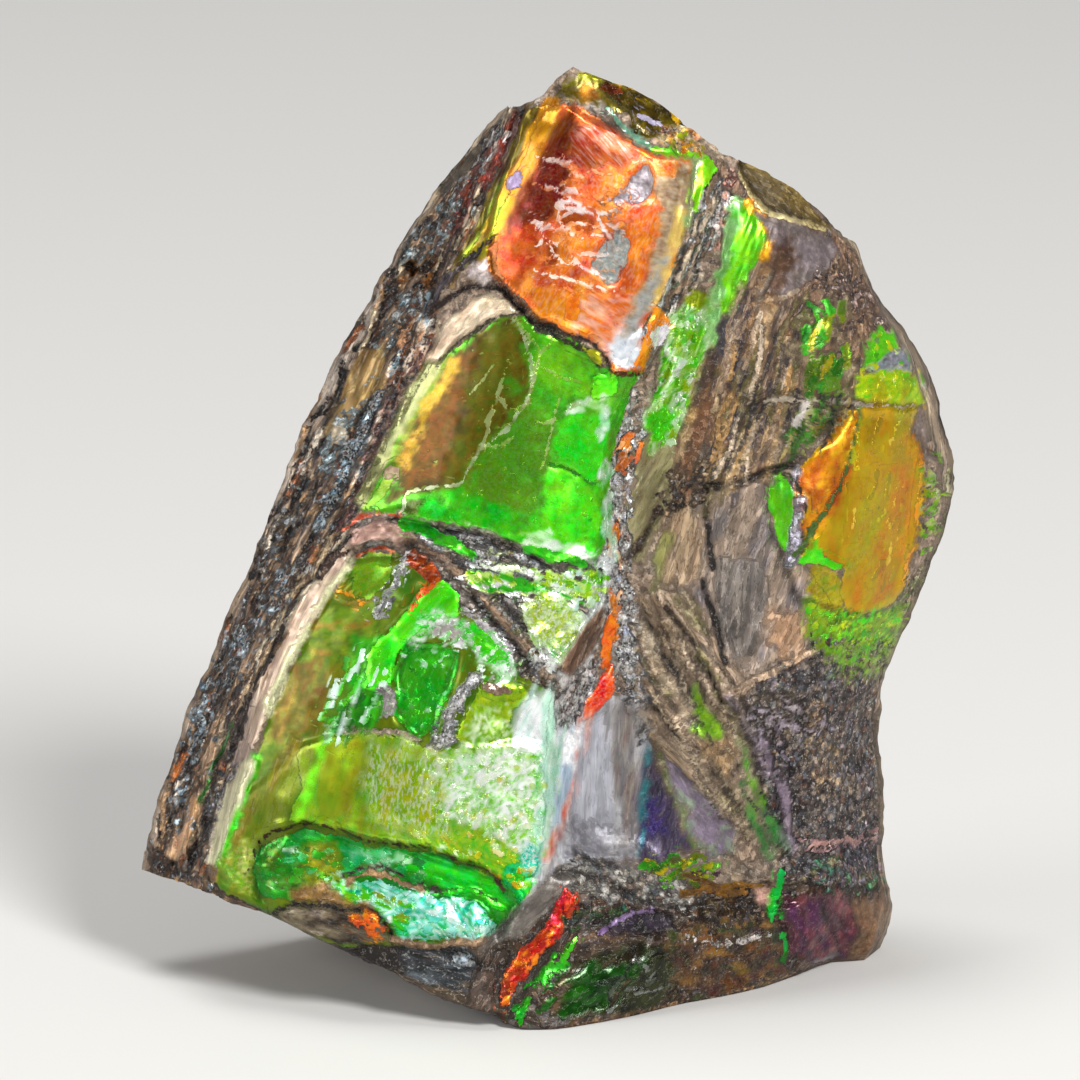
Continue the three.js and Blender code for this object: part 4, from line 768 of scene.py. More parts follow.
# The right side: smooth facets, splintered shale, green crumbs and the orange patch by the rim.
rightSide = {
    "crescentStep": area("736,163 764,166 790,186 812,206 828,224 812,224 795,219 775,212 752,195", "", "",
        lift=-0.9, edge=4),
    "crescentRim": stroke("738,172 752,196 776,214 796,222 822,226", 6, "#A8986C #C8BC94", "satin", lift=0.1),
    "plateStep": area("800,470 828,440 856,406 917,407 914,432 922,452 928,470 926,500 922,535 914,560 "
        "906,590 884,612 846,612 800,600 790,566 771,530 768,475", "", "", lift=0.5, edge=3.6),
    "plate": area("826,440 856,406 917,407 914,432 922,452 928,470 926,500 922,535 914,560 906,590 884,612 "
        "846,612 841,595 846,569 827,559 817,542 800,556 804,535 798,490 796,473 812,458",
        "#B08C08 #C09808 #B48410 #A48C0C", "silky", size=0.7, grain=80, stretch=0.25),
    "plateRimOrange": stroke("914,410 912,430 924,454 924,480 918,540 906,580", 5, "#E08820 #E8A048", blur=2),
    "cavity": area("913,414 928,410 940,436 938,460 926,456 914,436", "#7A6C68 #948680 #6A5C58", "satin",
        size=0.6, lift=-0.35),
    "slab": area("770,474 782,475 794,490 793,524 787,556 776,540 770,510", "#3CAC06 #5CC40C #4CA808 #78C414",
        size=0.6, grain=80, stretch=0.3),
    "lilacVein": stroke("796,474 800,492 800,512 795,535 792,560", 9, "#706878 #B8B0C8 #E0DCE8 #5A5060",
        "crystal", size=0.25),
    "greenWedge": area("812,537 826,556 846,566 838,572 818,564 798,564", "#3BC400 #54DD06", size=0.4),
    "darkLip": stroke("706,486 726,488 748,482 768,472 790,468", 7, "#1C1410 #3C2E24", "shale", lift=-0.35),
    "seamLine": stroke("706,500 708,540 712,566", 4, "#2A2220", "shale", lift=-0.2),
    "seamLineLow": stroke("702,580 710,610 718,640 726,662", 5, "#241C1A #3A302C", "shale", lift=-0.25),
    "orangeTan": area("770,610 784,604 804,612 808,636 796,656 778,654 766,640", "#94745A #A8866A #9C7C60",
        "banded", size=0.9, grain=60, stretch=0.3, blur=8),
    "crescent": area("736,162 753,165 780,177 802,196 821,217 834,228 820,224 806,220 787,214 768,205 "
        "753,194 742,177", "#5A4A28 #6E5C34 #7C6A40", "banded", size=2.4, grain=-32, stretch=0.3),
    "facets": [
        area("752,204 780,218 806,226 830,236 838,250 826,270 806,286 787,297 757,305 762,280 774,250",
            "#5E5450 #6E6460 #645A5C", "smooth", size=2.0, blur=3),
        area("768,244 788,240 796,262 784,288 764,300 758,288", "#48342A #5A4436 #503A2E", "smooth", size=1.2,
            blur=8),
        area("800,238 824,242 832,254 816,270 802,268", "#6C6264 #7A6E70", "smooth", size=1.2, blur=7),
        stroke("757,304 776,300 798,290", 4, "#94806C #B0A08C", "smooth", crevice=0, share=0.7),
    ],
    "pinkCrumbs": chips("806,284 836,262 850,262 880,296 908,330 914,352 896,340 868,322 850,330 846,300",
        110, (4, 9), "#8A6A5C #C0A498 #D8C0B4 #3E2A24 #A08074 #5C443A", 61, "grainy"),
    "runs": [
        splinters("720,300 770,308 800,320 800,400 772,470 700,490 680,470 690,400", 50, (34, 96), (6, 12),
            "#3A2C26 #7A5C3C #94784E #34303A #6A4A34 #A88C68 #6A5E3C #50483E", 62, "banded", grain=72,
            swing=4, blur=2.6, share=0.8),
        splinters("736,310 800,320 796,400 740,470 700,476", 46, (24, 80), (3.2, 5.5),
            "#2A2424 #B09878 #4A3A30 #8A7460 #201C20 #A88458 #5A5030 #C8B49C", 63, "banded", grain=73,
            swing=5, share=0.85),
    ],
    "crumbs": [
        chips("800,296 846,284 852,330 852,394 798,398 790,350", 50, (8, 18),
            "#5E4E40 #7E6C54 #4A3E2C #5A5A24 #94846A", 64, "banded", grain=76, long=1.3, blur=2.6,
            crevice=0.1),
        splinters("812,300 846,284 848,350 840,390 806,392 804,340", 34, (8, 24), (5, 10),
            "#1C7C10 #2CA018 #3C5C10 #7A8C18 #186010 #A89820 #5C7C30", 65, grain=80, swing=30, share=0.8),
    ],
    "topGreens": [
        area("866,352 872,336 884,326 896,332 900,346 890,358 880,370 868,366",
            "#60C030 #88D860 #48D818 #98A878", size=0.3, blur=4),
        area("868,366 894,350 914,346 922,368 912,380 884,378", "#4A4C50 #8A8890 #6C7478 #A4A0A8", "smooth",
            size=0.4, grain=50, stretch=0.3, blur=3),
        area("856,399 860,379 880,372 904,372 926,386 928,400 900,404",
            "#88C018 #C8E018 #70C818 #E0E828 #A8D040", size=0.35, blur=3),
        chips("858,400 862,376 870,340 890,330 902,350 926,388 926,400", 50, (3.5, 8),
            "#58D820 #B8D828 #F0FFE8 #7C8A70 #88E038 #E8D838 #50A020", 66, crevice=0, share=0.8),
    ],
    "plateStreaks": [
        splinters("864,414 912,414 922,470 918,540 890,606 846,606 850,560 862,480", 46, (20, 90), (5, 12),
            "#C87818 #C09010 #90981C #D08818 #A88C10 #B87018 #A09818", 67, grain=82, swing=6, blur=4,
            share=0.55),
        splinters("826,446 856,420 846,490 820,530 802,500 802,474", 30, (14, 50), (3.5, 7),
            "#C85808 #E88820 #D87010 #F0A030 #A84808", 68, grain=70, swing=6, blur=2.6, share=0.7),
        splinters("846,430 912,430 916,560 850,600", 16, (8, 34), (2.8, 3.6), "#F0D890 #D8C878 #8A7820", 69,
            grain=78, swing=16, share=0.6),
    ],
    "rimCrumbs": [
        chips("922,468 938,452 944,500 934,552 920,560 926,500", 50, (4, 9),
            "#5C9810 #98A848 #3C7008 #B8B898 #80B828", 71, crevice=0.2),
        chips("934,396 950,420 962,480 956,540 930,590 904,620 900,604 930,560 948,500 946,440", 90, (4, 9),
            "#8A8468 #B0AC88 #6A6448 #A8B070 #5C5440", 72, "grainy"),
    ],
    "moss": [
        area("806,600 846,612 884,612 906,596 898,640 888,670 850,676 824,650 806,634",
            "#4C8C10 #88A030 #6AA820 #6A6848 #58B818", size=0.35, relief=0.1, blur=8),
        chips("806,606 846,612 900,606 896,640 868,650 830,640 810,630", 110, (4, 10),
            "#48C810 #88C828 #2C6808 #C8D860 #60D818 #6A6A40", 73, crevice=0),
        chips("812,636 896,640 888,690 850,690 824,670", 90, (4, 9),
            "#6A7048 #4A4A3C #88904C #3A3430 #7CA038 #8A7A66", 74, "grainy", crevice=0),
    ],
    "browKnot": chips("668,474 704,462 720,478 704,500 670,512 656,496", 50, (5, 11),
        "#3C2C20 #7A624A #9C8468 #2A2018 #5C4834", 75, "grainy", blur=2, lift=0.06),
    "darkSpeckle": [
        chips("746,694 800,660 850,664 896,674 898,878 850,896 790,880 765,800", 330, (3.5, 8),
            "#8C8A90 #B0A0B0 #221C20 #5C7468 #A08868 #322C2E #C0B0A8 #4A5860 #181416", 76, "grainy",
            crevice=0, share=0.75),
        chips("800,690 826,700 842,760 846,800 820,800 806,750", 60, (4, 9),
            "#9C8060 #7A6048 #B89C78 #4A3A2C", 77, "grainy", crevice=0, share=0.8),
        splinters("748,690 800,690 832,730 790,764 756,740", 20, (12, 40), (2.8, 3.6),
            "#A89CA8 #8A8090 #C0B4B8", 78, "satin", grain=-40, swing=35, share=0.6),
        splinters("824,842 884,834 884,842 826,852", 5, (30, 60), (3, 4), "#B08C84 #8A6C6C", 79, "satin",
            grain=4, swing=5),
        chips("800,862 886,858 884,900 806,896", 60, (4, 9),
            "#5A5C34 #2A7850 #4A8C68 #4A3C54 #8A7A5C #2C2430", 80, "grainy", crevice=0),
        area("838,846 884,842 884,872 846,872", "#2C2434 #40364A #241C24", "grainy", size=0.35, share=0.7,
            blur=8),
    ],
    "veinDark": stroke("776,474 792,478 803,498 806,524 800,552", 3.4, "#20200C #3A3418", "shale",
        lift=-0.12),
    "vein": [
        stroke("764,400 790,400 820,401 855,404 884,406 916,404", 3.2, "#948878 #B8AC9C #8A8070", "smooth",
            crevice=0.3),
        # painted shade: a dark line just beneath the vein, where the rock above it overhangs
        stroke("800,406 840,408 860,410", 3.4, "#2A2416 #4A4020", "shale", share=0.8),
        splinters("800,404 852,408 838,430 800,462 776,470 780,440", 34, (12, 36), (3, 6),
            "#2C4C10 #5A5024 #8A8A60 #1C2410 #98885C #C8C0B8 #3C7018", 108, "satin", grain=62, swing=8,
            crevice=0.2),
    ],
    "curvedCrack": [
        stroke("859,410 857,436 851,460 840,490 829,509 812,532 795,554", 4.2, "#2C4418 #48602C #38501C",
            "satin", crevice=0.4),
        stroke("862,414 860,440 854,462", 2.8, "#B0B838 #88A028", crevice=0, share=0.6),
    ],
    "lowBlock": area("814,566 836,570 844,584 842,611 822,611 808,590", "#8A8410 #A89C1C #90780C #7C9018",
        size=0.4, blur=3),
}

# The foot: a ledge of crushed shale with the red seam, green runs and plum facets.
footPatches = {
    "ledgeShade": stroke("560,872 600,878 640,900 690,908 750,906 800,902", 8, "#1E1614 #3C302A", "shale",
        lift=-0.3, blur=3),
    "ledge": chips("560,860 600,862 660,878 704,892 704,914 650,906 600,896 566,884", 70, (6, 15),
        "#6A6864 #9A9690 #4A4644 #B0ACA4 #5C5850", 94, "grainy", blur=2, lift=0.05),
    "smoothBrow": area("500,926 524,898 540,880 560,866 572,880 552,900 520,934 500,946 470,950",
        "#4A4440 #6C6660 #5A544E", "satin", size=0.5, grain=40, stretch=0.2),
    "redRun": area("566,888 580,894 576,918 562,934 544,950 528,966 516,984 508,1006 500,1006 504,970 "
        "520,948 544,926 554,904", "#980E06 #C8200C #D83C14 #B01A0E #5E0A06", size=0.3, grain=48, stretch=0.4,
        relief=0.15, lift=0.25),
    "redBits": chips("566,890 578,896 560,934 516,984 506,1004 504,970 544,926", 50, (4, 10),
        "#F04818 #A01008 #F88840 #7A0808 #E82010 #F8A060", 95, grain=50, long=1.5),
    "brownRun": area("480,950 504,944 500,980 484,1012 466,1012 470,980", "#2C221C #54443A #3E322A", "shale",
        size=0.4, grain=50, stretch=0.2),
    "darkRun": stroke("574,912 560,940 540,966 524,996", 8, "#2A1E18 #5A4A3C", "shale", size=0.3, grain=50,
        stretch=0.1, lift=-0.2),
    "shelfBits": chips("576,896 628,904 660,914 640,926 590,922 568,930", 50, (4, 11),
        "#2A1E18 #5C4A38 #20785C #3C8430 #8A7A68 #141010 #4A2C1C", 96, "grainy", blur=2, grain=-10, long=1.5),
    "greenRuns": splinters("574,946 558,950 516,1000 520,1020 540,1010 572,980", 14, (12, 36), (3.2, 6),
        "#187818 #28A020 #40B828 #0C4C10 #1C5810 #3A3020", 97, grain=50, swing=9, lift=0.06, crevice=0.2),
    "plumHollow": area("600,918 632,908 672,914 676,932 640,936 612,932", "#0E0A10 #2A1C30 #1A1218", "shale",
        lift=-0.35),
    "lilacRim": stroke("598,934 622,916 650,910", 4, "#6A5478 #A890B8", "satin"),
    "glassField": area("580,960 620,944 680,940 706,960 690,996 640,1012 590,1014 560,1004",
        "#12140A #222610 #32361C #1A1E0E #2A2014", "glassy", size=0.7, grain=20, stretch=0.5, blur=3),
    "greenGlass": area("566,984 600,962 640,960 620,990 590,1014 556,1022", "#0C3008 #185010 #103C08 #1C5C10",
        "glassy", size=0.6, grain=35, stretch=0.4, blur=6),
    "glassLines": splinters("590,964 640,946 690,950 690,990 620,1010", 16, (10, 34), (2.8, 3.8),
        "#4A5044 #7C8078 #0C0C08 #4A3C28", 99, "glassy", grain=30, swing=35, share=0.7, crevice=0.2),
    "brownField": area("656,936 700,925 760,924 790,960 790,985 700,1000 664,1000 690,960",
        "#1E1612 #3C2C20 #5A4028 #2C1C16 #6A4E34", "grainy", size=0.5, relief=0.15, blur=6),
    "brownBits": chips("664,930 700,924 776,920 792,960 790,984 700,1000 676,980", 110, (5, 14),
        "#2E1C14 #5A3620 #7A5430 #48201A #1C1410 #8A683C #3E2428 #2C3818", 100, "satin", grain=-5, long=1.5,
        blur=3.5),
    "whiteLedge": stroke("690,938 720,946 750,940 772,936", 5, "#9C8C84 #D8CCC4 #7A6A64", "crystal",
        size=0.25, lift=0.2),
    "niche": chips("690,900 748,900 764,922 720,934 690,926", 50, (5, 12),
        "#1E1612 #4A3A28 #3C2E22 #6A5A34 #5C4014", 101, "grainy", blur=2, lift=-0.05),
    "plumStreak": splinters("690,880 750,886 748,902 692,898", 8, (20, 44), (4, 6),
        "#40285C #5A3C14 #7A5420 #2C2018", 102, "satin", grain=-8, crevice=0.2),
    "moss": splinters("770,886 788,884 788,924 794,968 782,968 768,930", 11, (8, 24), (4, 8),
        "#28B040 #38C850 #186C10 #2C9418 #103808", 103, grain=80, swing=25, crevice=0.2),
    "peachKnob": area("756,888 776,886 770,904 758,906", "#98786A #B89888 #C89890", "satin", size=0.3),
    "plumFacets": area("786,900 820,894 850,900 860,930 850,972 820,966 790,956",
        "#341C2A #54303A #442430 #62363E", "glassy", size=1.0, grain=-70, stretch=0.3, lift=0.1, blur=5),
    "facetStreaks": splinters("788,904 820,898 850,904 856,940 846,966 800,950", 26, (14, 46), (4, 9),
        "#744048 #341A2C #4C2448 #24141C #825050", 104, "glassy", grain=-62, blur=3, share=0.7),
    "tanCorner": area("856,904 896,896 900,940 884,962 858,976 846,966 860,940",
        "#5A4434 #7A5E48 #6C5240 #4E3A2E", "satin", size=0.5, relief=0.1, blur=4),
    "baseRim": stroke("640,1012 690,1004 740,992 792,978 850,972", 6, "#5A4430 #8A6C4C #3C2A1C", "grainy",
        size=0.3),
}

# The zones are laid on in this order, each over the ones before it.
frontZones = [
    shaleFront, layeredStrip, valleyFill, fanRibs, rightSide, upperShell, healedCracks,
    crushedBelt, lowerShell, shellEdge, hollow, topPlate, underLip, footPatches,
]

# The low relief of the frame's plates and ribs, in mm on the sheet: height, then outline right and up. It is
# taken off, and the patches lay their own crisp steps in its place.
framePlates = [
    (0.7, "-1.5,51.7 3.2,51.1 6.7,49.0 8.8,48.4 7.8,43.0 5.8,38.1 6.1,36.4 3.6,36.6 2.4,38.2 -0.5,39.4 "
          "-2.5,41.3 -4.6,42.7 -3.3,46.4"),
    (-1.0, "-17.3,7.3 -15.5,9.4 -12.2,9.4 -8.2,8.6 -4.5,7.6 -0.6,5.7 -1.6,1.7 -2.7,-2.3 -6.2,-2 -12.7,1 "
           "-16.2,3.9"),
    (0.6, "16.6,34.1 21.8,34.1 22.3,30.7 22.0,26.7 21.0,22.8 17.8,22.2 17.6,24.7 15.9,26.3 14.4,25.2 "
          "13.2,28.2 13.2,30.2 15.6,31.3"),
    (-0.9, "-11.5,27.3 -8.5,27.9 -4.5,25.9 0.8,24.9 3.2,26.1 3.2,22.8 0.8,19.3 -0.4,19.6 -2.7,22.3 -5.4,24.9 "
           "-8.6,24.3 -11.8,23.4"),
    (-0.6, "-8.6,20.5 -5.2,19.9 -5.4,17.0 -6.5,15.1 -8.0,15.0 -9.1,17.0"),
    (-0.9, "3.3,53.6 6.1,53.3 8.6,50.9 7.5,50.0 5.5,50.0 3.8,52.0"),
    (-0.9, "10.9,49.3 13.2,48.9 15.5,47.1 17.0,45.1 14.6,45.3 12.1,46.7"),
]
frameSlope = 0.8  # mm to each side of their smoothed edges

# Facing is 1 where the surface looks out of the sheet, 0 at the sides and -1 at the back.
surface = {
    "weld": 1e-6,
    "cuts": 2,  # on every edge, then one more on the front's
    "frontCuts": 1,
    "facingRounds": 3,  # how often facing is averaged before it tells front from back
    "frontFacing": 0.1,
    "smoothFacing": 0.3,
    "smoothRounds": 22,
    "smoothing": 0.5,
    "flatFoot": 0.3,  # mm above the ground below which nothing is smoothed
    "paintFacing": (0.02, 0.22),  # from bare to fully laid on
    "rimFacing": 0.1,  # where patches end toward the sides
    "rimReach": 4,  # mm from there for each 1 of facing
    "warp": [(0.35, 0.9), (1.3, 2.8)],  # lump size in mm and reach in units of the wander of patch edges
    "swell": (0.9, 0.5),  # lump size in mm and share of how strokes swell and thin
    "grit": [(0.75, 0.10), (0.33, 0.06)],  # lump size and height in mm of the shale's grain
    "shellWave": (1.5, 0.03),
    "reliefToneFine": 6.0,  # how strongly the colour lightens where the surface stands out and darkens where it lies low
    "reliefToneBroad": 1.6,
    "fineRounds": 2,  # corners off that the fine one looks, and how many more the broad one
    "broadRounds": 10,
    "reliefToneShare": (0.45, 0.55),  # of that lightening and darkening that shell shows, and how much more shale does
    "reliefToneRange": (0.45, 1.6),  # darkest and lightest
    "edgeReach": 0.42,  # mm to each side of a patch's edge within which the material draws it
    "edgeFade": (0.4, 0.95),  # shares of that reach between which both sides come to be alike
    "softBlur": 2.4,  # units; patches that blur wider than this have no edge line
    "feather": [(0.3, 1.1), (0.8, 0.7)],  # lump size in mm and reach, in blurs, of how soft patches fray
}

# The bedded shale of the back and sides.
bareShale = {
    "tints": "#332D29 #5C5046 #7A6B5A #463E37 #8C7C67 #685B4D",
    "bands": (0.12, 0.12, 1),  # the bedding's stretch right, up and out of the sheet
    "bandSize": 0.75,  # mm
    "bandWarp": (3.0, 0.25),  # lump size and reach in mm of the bands' wander
    "blotches": (0.5, 0.8, 1),
    "blotchSize": 0.9,
    "splitFacing": (-0.6, -0.85),  # from broken across to split along its bedding
    "relief": 0.22,  # mm
}
mottling = {"coarse": 0.68, "fine": 0.4, "finer": 2.3, "spread": 0.82}
seeds = {
    "warpAcross": 100,
    "warpDown": 200,
    "bandWarp": 300,
    "bands": 310,
    "blotches": 311,
    "swell": 320,
    "grit": 400,
    "shellWave": 410,
    "patches": 1000,
    "perPatch": 10,
    "feather": 3,  # on top of the patch's own
}


def toLinear(hexColor):
    channels = [int(hexColor[i:i + 2], 16) / 255 for i in (1, 3, 5)]
    return [c / 12.92 if c <= 0.04045 else ((c + 0.055) / 1.055) ** 2.4 for c in channels]


def smoothStep(low, high, value):
    f = numpy.clip((value - low) / (high - low), 0, 1)
    return f * f * (3 - 2 * f)


def lumps(points, size, seed):
    # smooth repeatable noise from -1 to 1, its lumps about size apart
    side = 32
    table = numpy.random.default_rng(seed).uniform(-1, 1, (side, side, side))
    cell = numpy.floor(points / size).astype(int)
    f = points / size - cell
    f = f * f * (3 - 2 * f)
    total = numpy.zeros(len(points))
    for corner in itertools.product((0, 1), repeat=3):
        weight = numpy.prod(numpy.where(corner, f, 1 - f), axis=1)
        total += weight * table[tuple(((cell + corner) % side).T)]
    return total


def patchDepth(patch, points, ragged):
    # distance into a patch in units, negative outside it; strokes swell and thin as they go
    if "path" in patch:
        swelling = surface["swell"][1] * ragged
        return patch["width"] / 2 * (1 + swelling) - distanceToPath(points, patch["path"])
    if "outline" in patch:
        return depthInside(points, patch["outline"])
    turn = math.radians(patch["turn"])
    off = points - patch["place"]
    along = off @ (math.cos(turn), -math.sin(turn)) / patch["reach"][0]
    across = off @ (math.sin(turn), math.cos(turn)) / patch["reach"][1]
    return (1 - numpy.hypot(along, across)) * min(patch["reach"])


def patchBox(patch):
    if "place" in patch:
        points = numpy.array([patch["place"]])
        margin = max(patch["reach"])
    else:
        points = numpy.array(patch.get("outline") or patch["path"])
        margin = patch.get("width", 0) / 2
    margin += max(3 * patch["blur"], patch["edge"], surface["edgeReach"] * sheet["unitsPerMm"])
    return points.min(axis=0) - margin, points.max(axis=0) + margin


def tintRamp(tints, share):
    stops = numpy.array([toLinear(tint) for tint in tints.split()])
    place = numpy.clip(share, 0, 1) * (len(stops) - 1)
    low = numpy.minimum(place.astype(int), max(len(stops) - 2, 0))
    f = (place - low)[:, None]
    return stops[low] * (1 - f) + stops[numpy.minimum(low + 1, len(stops) - 1)] * f


def toSheet(points):
    # places in metres to mm on the sheet: right, up and out of it
    moved = points / mm + (sheet["middle"][0], sheet["middle"][1], 0)
    return numpy.stack([moved[:, 0], moved @ upSheet, moved @ toFront], axis=1)


def fromSheet(right, up, out):
    moved = numpy.array([right, 0, 0]) + up * upSheet + out * toFront
    return (moved - (sheet["middle"][0], sheet["middle"][1], 0)) * mm


def neighbourMean(edges, values):
    ends = numpy.concatenate([edges[:, 0], edges[:, 1]])
    others = numpy.concatenate([edges[:, 1], edges[:, 0]])
    count = numpy.bincount(ends, minlength=len(values))
    sums = [numpy.bincount(ends, weights=column[others], minlength=len(values)) for column in values.T]
    return numpy.stack(sums, axis=1) / count[:, None]


def makeFineMesh():
    shape = bmesh.new()
    shape.from_mesh(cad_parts["ammolite_specimen"].data)
    bmesh.ops.remove_doubles(shape, verts=shape.verts, dist=surface["weld"])
    bmesh.ops.join_triangles(shape, faces=shape.faces, angle_face_threshold=math.pi,
                             angle_shape_threshold=math.pi)
    shape.normal_update()
    facing = shape.verts.layers.float.new("facing")
    for corner in shape.verts:
        corner[facing] = float(numpy.dot(corner.normal, toFront))
    for _ in range(surface["facingRounds"]):
        mean = [(v[facing] + sum(e.other_vert(v)[facing] for e in v.link_edges)) / (1 + len(v.link_edges))
                for v in shape.verts]
        for corner, value in zip(shape.verts, mean):
            corner[facing] = value
    bmesh.ops.subdivide_edges(shape, edges=shape.edges, cuts=surface["cuts"], use_grid_fill=True)
    frontEdges = [e for e in shape.edges if all(v[facing] > surface["frontFacing"] for v in e.verts)]
    bmesh.ops.subdivide_edges(shape, edges=frontEdges, cuts=surface["frontCuts"], use_grid_fill=True)
    ground = surface["flatFoot"] * mm
    free = [v for v in shape.verts if v[facing] > surface["smoothFacing"] and v.co.z > ground]
    for _ in range(surface["smoothRounds"]):
        bmesh.ops.smooth_vert(shape, verts=free, factor=surface["smoothing"], use_axis_x=True,
                              use_axis_y=True, use_axis_z=True)
    mesh = bpy.data.meshes.new("ammolite_surface")
    shape.to_mesh(mesh)
    shape.free()
    triangles = sum(len(face.vertices) - 2 for face in mesh.polygons)
    print("surface:", len(mesh.vertices), "corners,", triangles, "triangles")
    return mesh


def readCorners(mesh, holder, name, width):
    values = numpy.empty(len(mesh.vertices) * width)
    holder.foreach_get(name, values)
    return values.reshape(-1, width) if width > 1 else values


def writeCorners(mesh, name, kind, field, values):
    mesh.attributes.new(name, kind, "POINT").data.foreach_set(field, values.astype(numpy.float32).ravel())


def grainPlaces(patch, places, stripAcross):
    # mottling coordinates in mm: along the grain, shortened by stretch, then across it, then out of the sheet
    if patch["grain"] == "strip":
        return numpy.stack([places[:, 1] * patch["stretch"], stripAcross, places[:, 2]], axis=1)
    turn = math.radians(patch["grain"])
    along = places[:, 0] * math.cos(turn) + places[:, 1] * math.sin(turn)
    across = places[:, 1] * math.cos(turn) - places[:, 0] * math.sin(turn)
    return numpy.stack([along * patch["stretch"], across, places[:, 2]], axis=1)


def mottle(places, size, seed):
    # two sizes of lumps, spread out to use the whole range from 0 to 1
    value = mottling["coarse"] * lumps(places, size, seed)
    value += mottling["fine"] * lumps(places, size / mottling["finer"], seed + 1)
    return 0.5 + mottling["spread"] * value


def beddingOf(places, normal):
    # bedding shows as bands where the shale is broken across it, and as blotches where it split along it
    size, reach = bareShale["bandWarp"]
    banding = places * bareShale["bands"]
    banding += reach * numpy.stack([lumps(places, size, seeds["bandWarp"] + i) for i in range(3)], axis=1)
    blotches = places * bareShale["blotches"]
    isSplit = smoothStep(*bareShale["splitFacing"], normal @ toFront)
    bands = mottle(banding, bareShale["bandSize"], seeds["bands"])
    bands += isSplit * (mottle(blotches, bareShale["blotchSize"], seeds["blotches"]) - bands)
    return bands, numpy.where(isSplit[:, None] > 0.5, blotches, banding)


def reliefToneOf(edges, position, normal, stone):
    # the colour is made lighter where the surface stands out and darker where it lies low
    around = position
    for _ in range(surface["fineRounds"]):
        around = neighbourMean(edges, around)
    fine = ((position - around) * normal).sum(axis=1) / mm
    for _ in range(surface["broadRounds"]):
        around = neighbourMean(edges, around)
    broad = ((position - around) * normal).sum(axis=1) / mm
    reliefTone = surface["reliefToneFine"] * fine + surface["reliefToneBroad"] * broad
    reliefTone = neighbourMean(edges, reliefTone[:, None])[:, 0]
    least, more = surface["reliefToneShare"]
    return numpy.clip(1 + reliefTone * (least + more * stone), *surface["reliefToneRange"])


def singlePatches(entries):
    # an entry is one patch or a list of them
    for entry in entries:
        if isinstance(entry, dict):
            yield entry
        else:
            yield from singlePatches(entry)


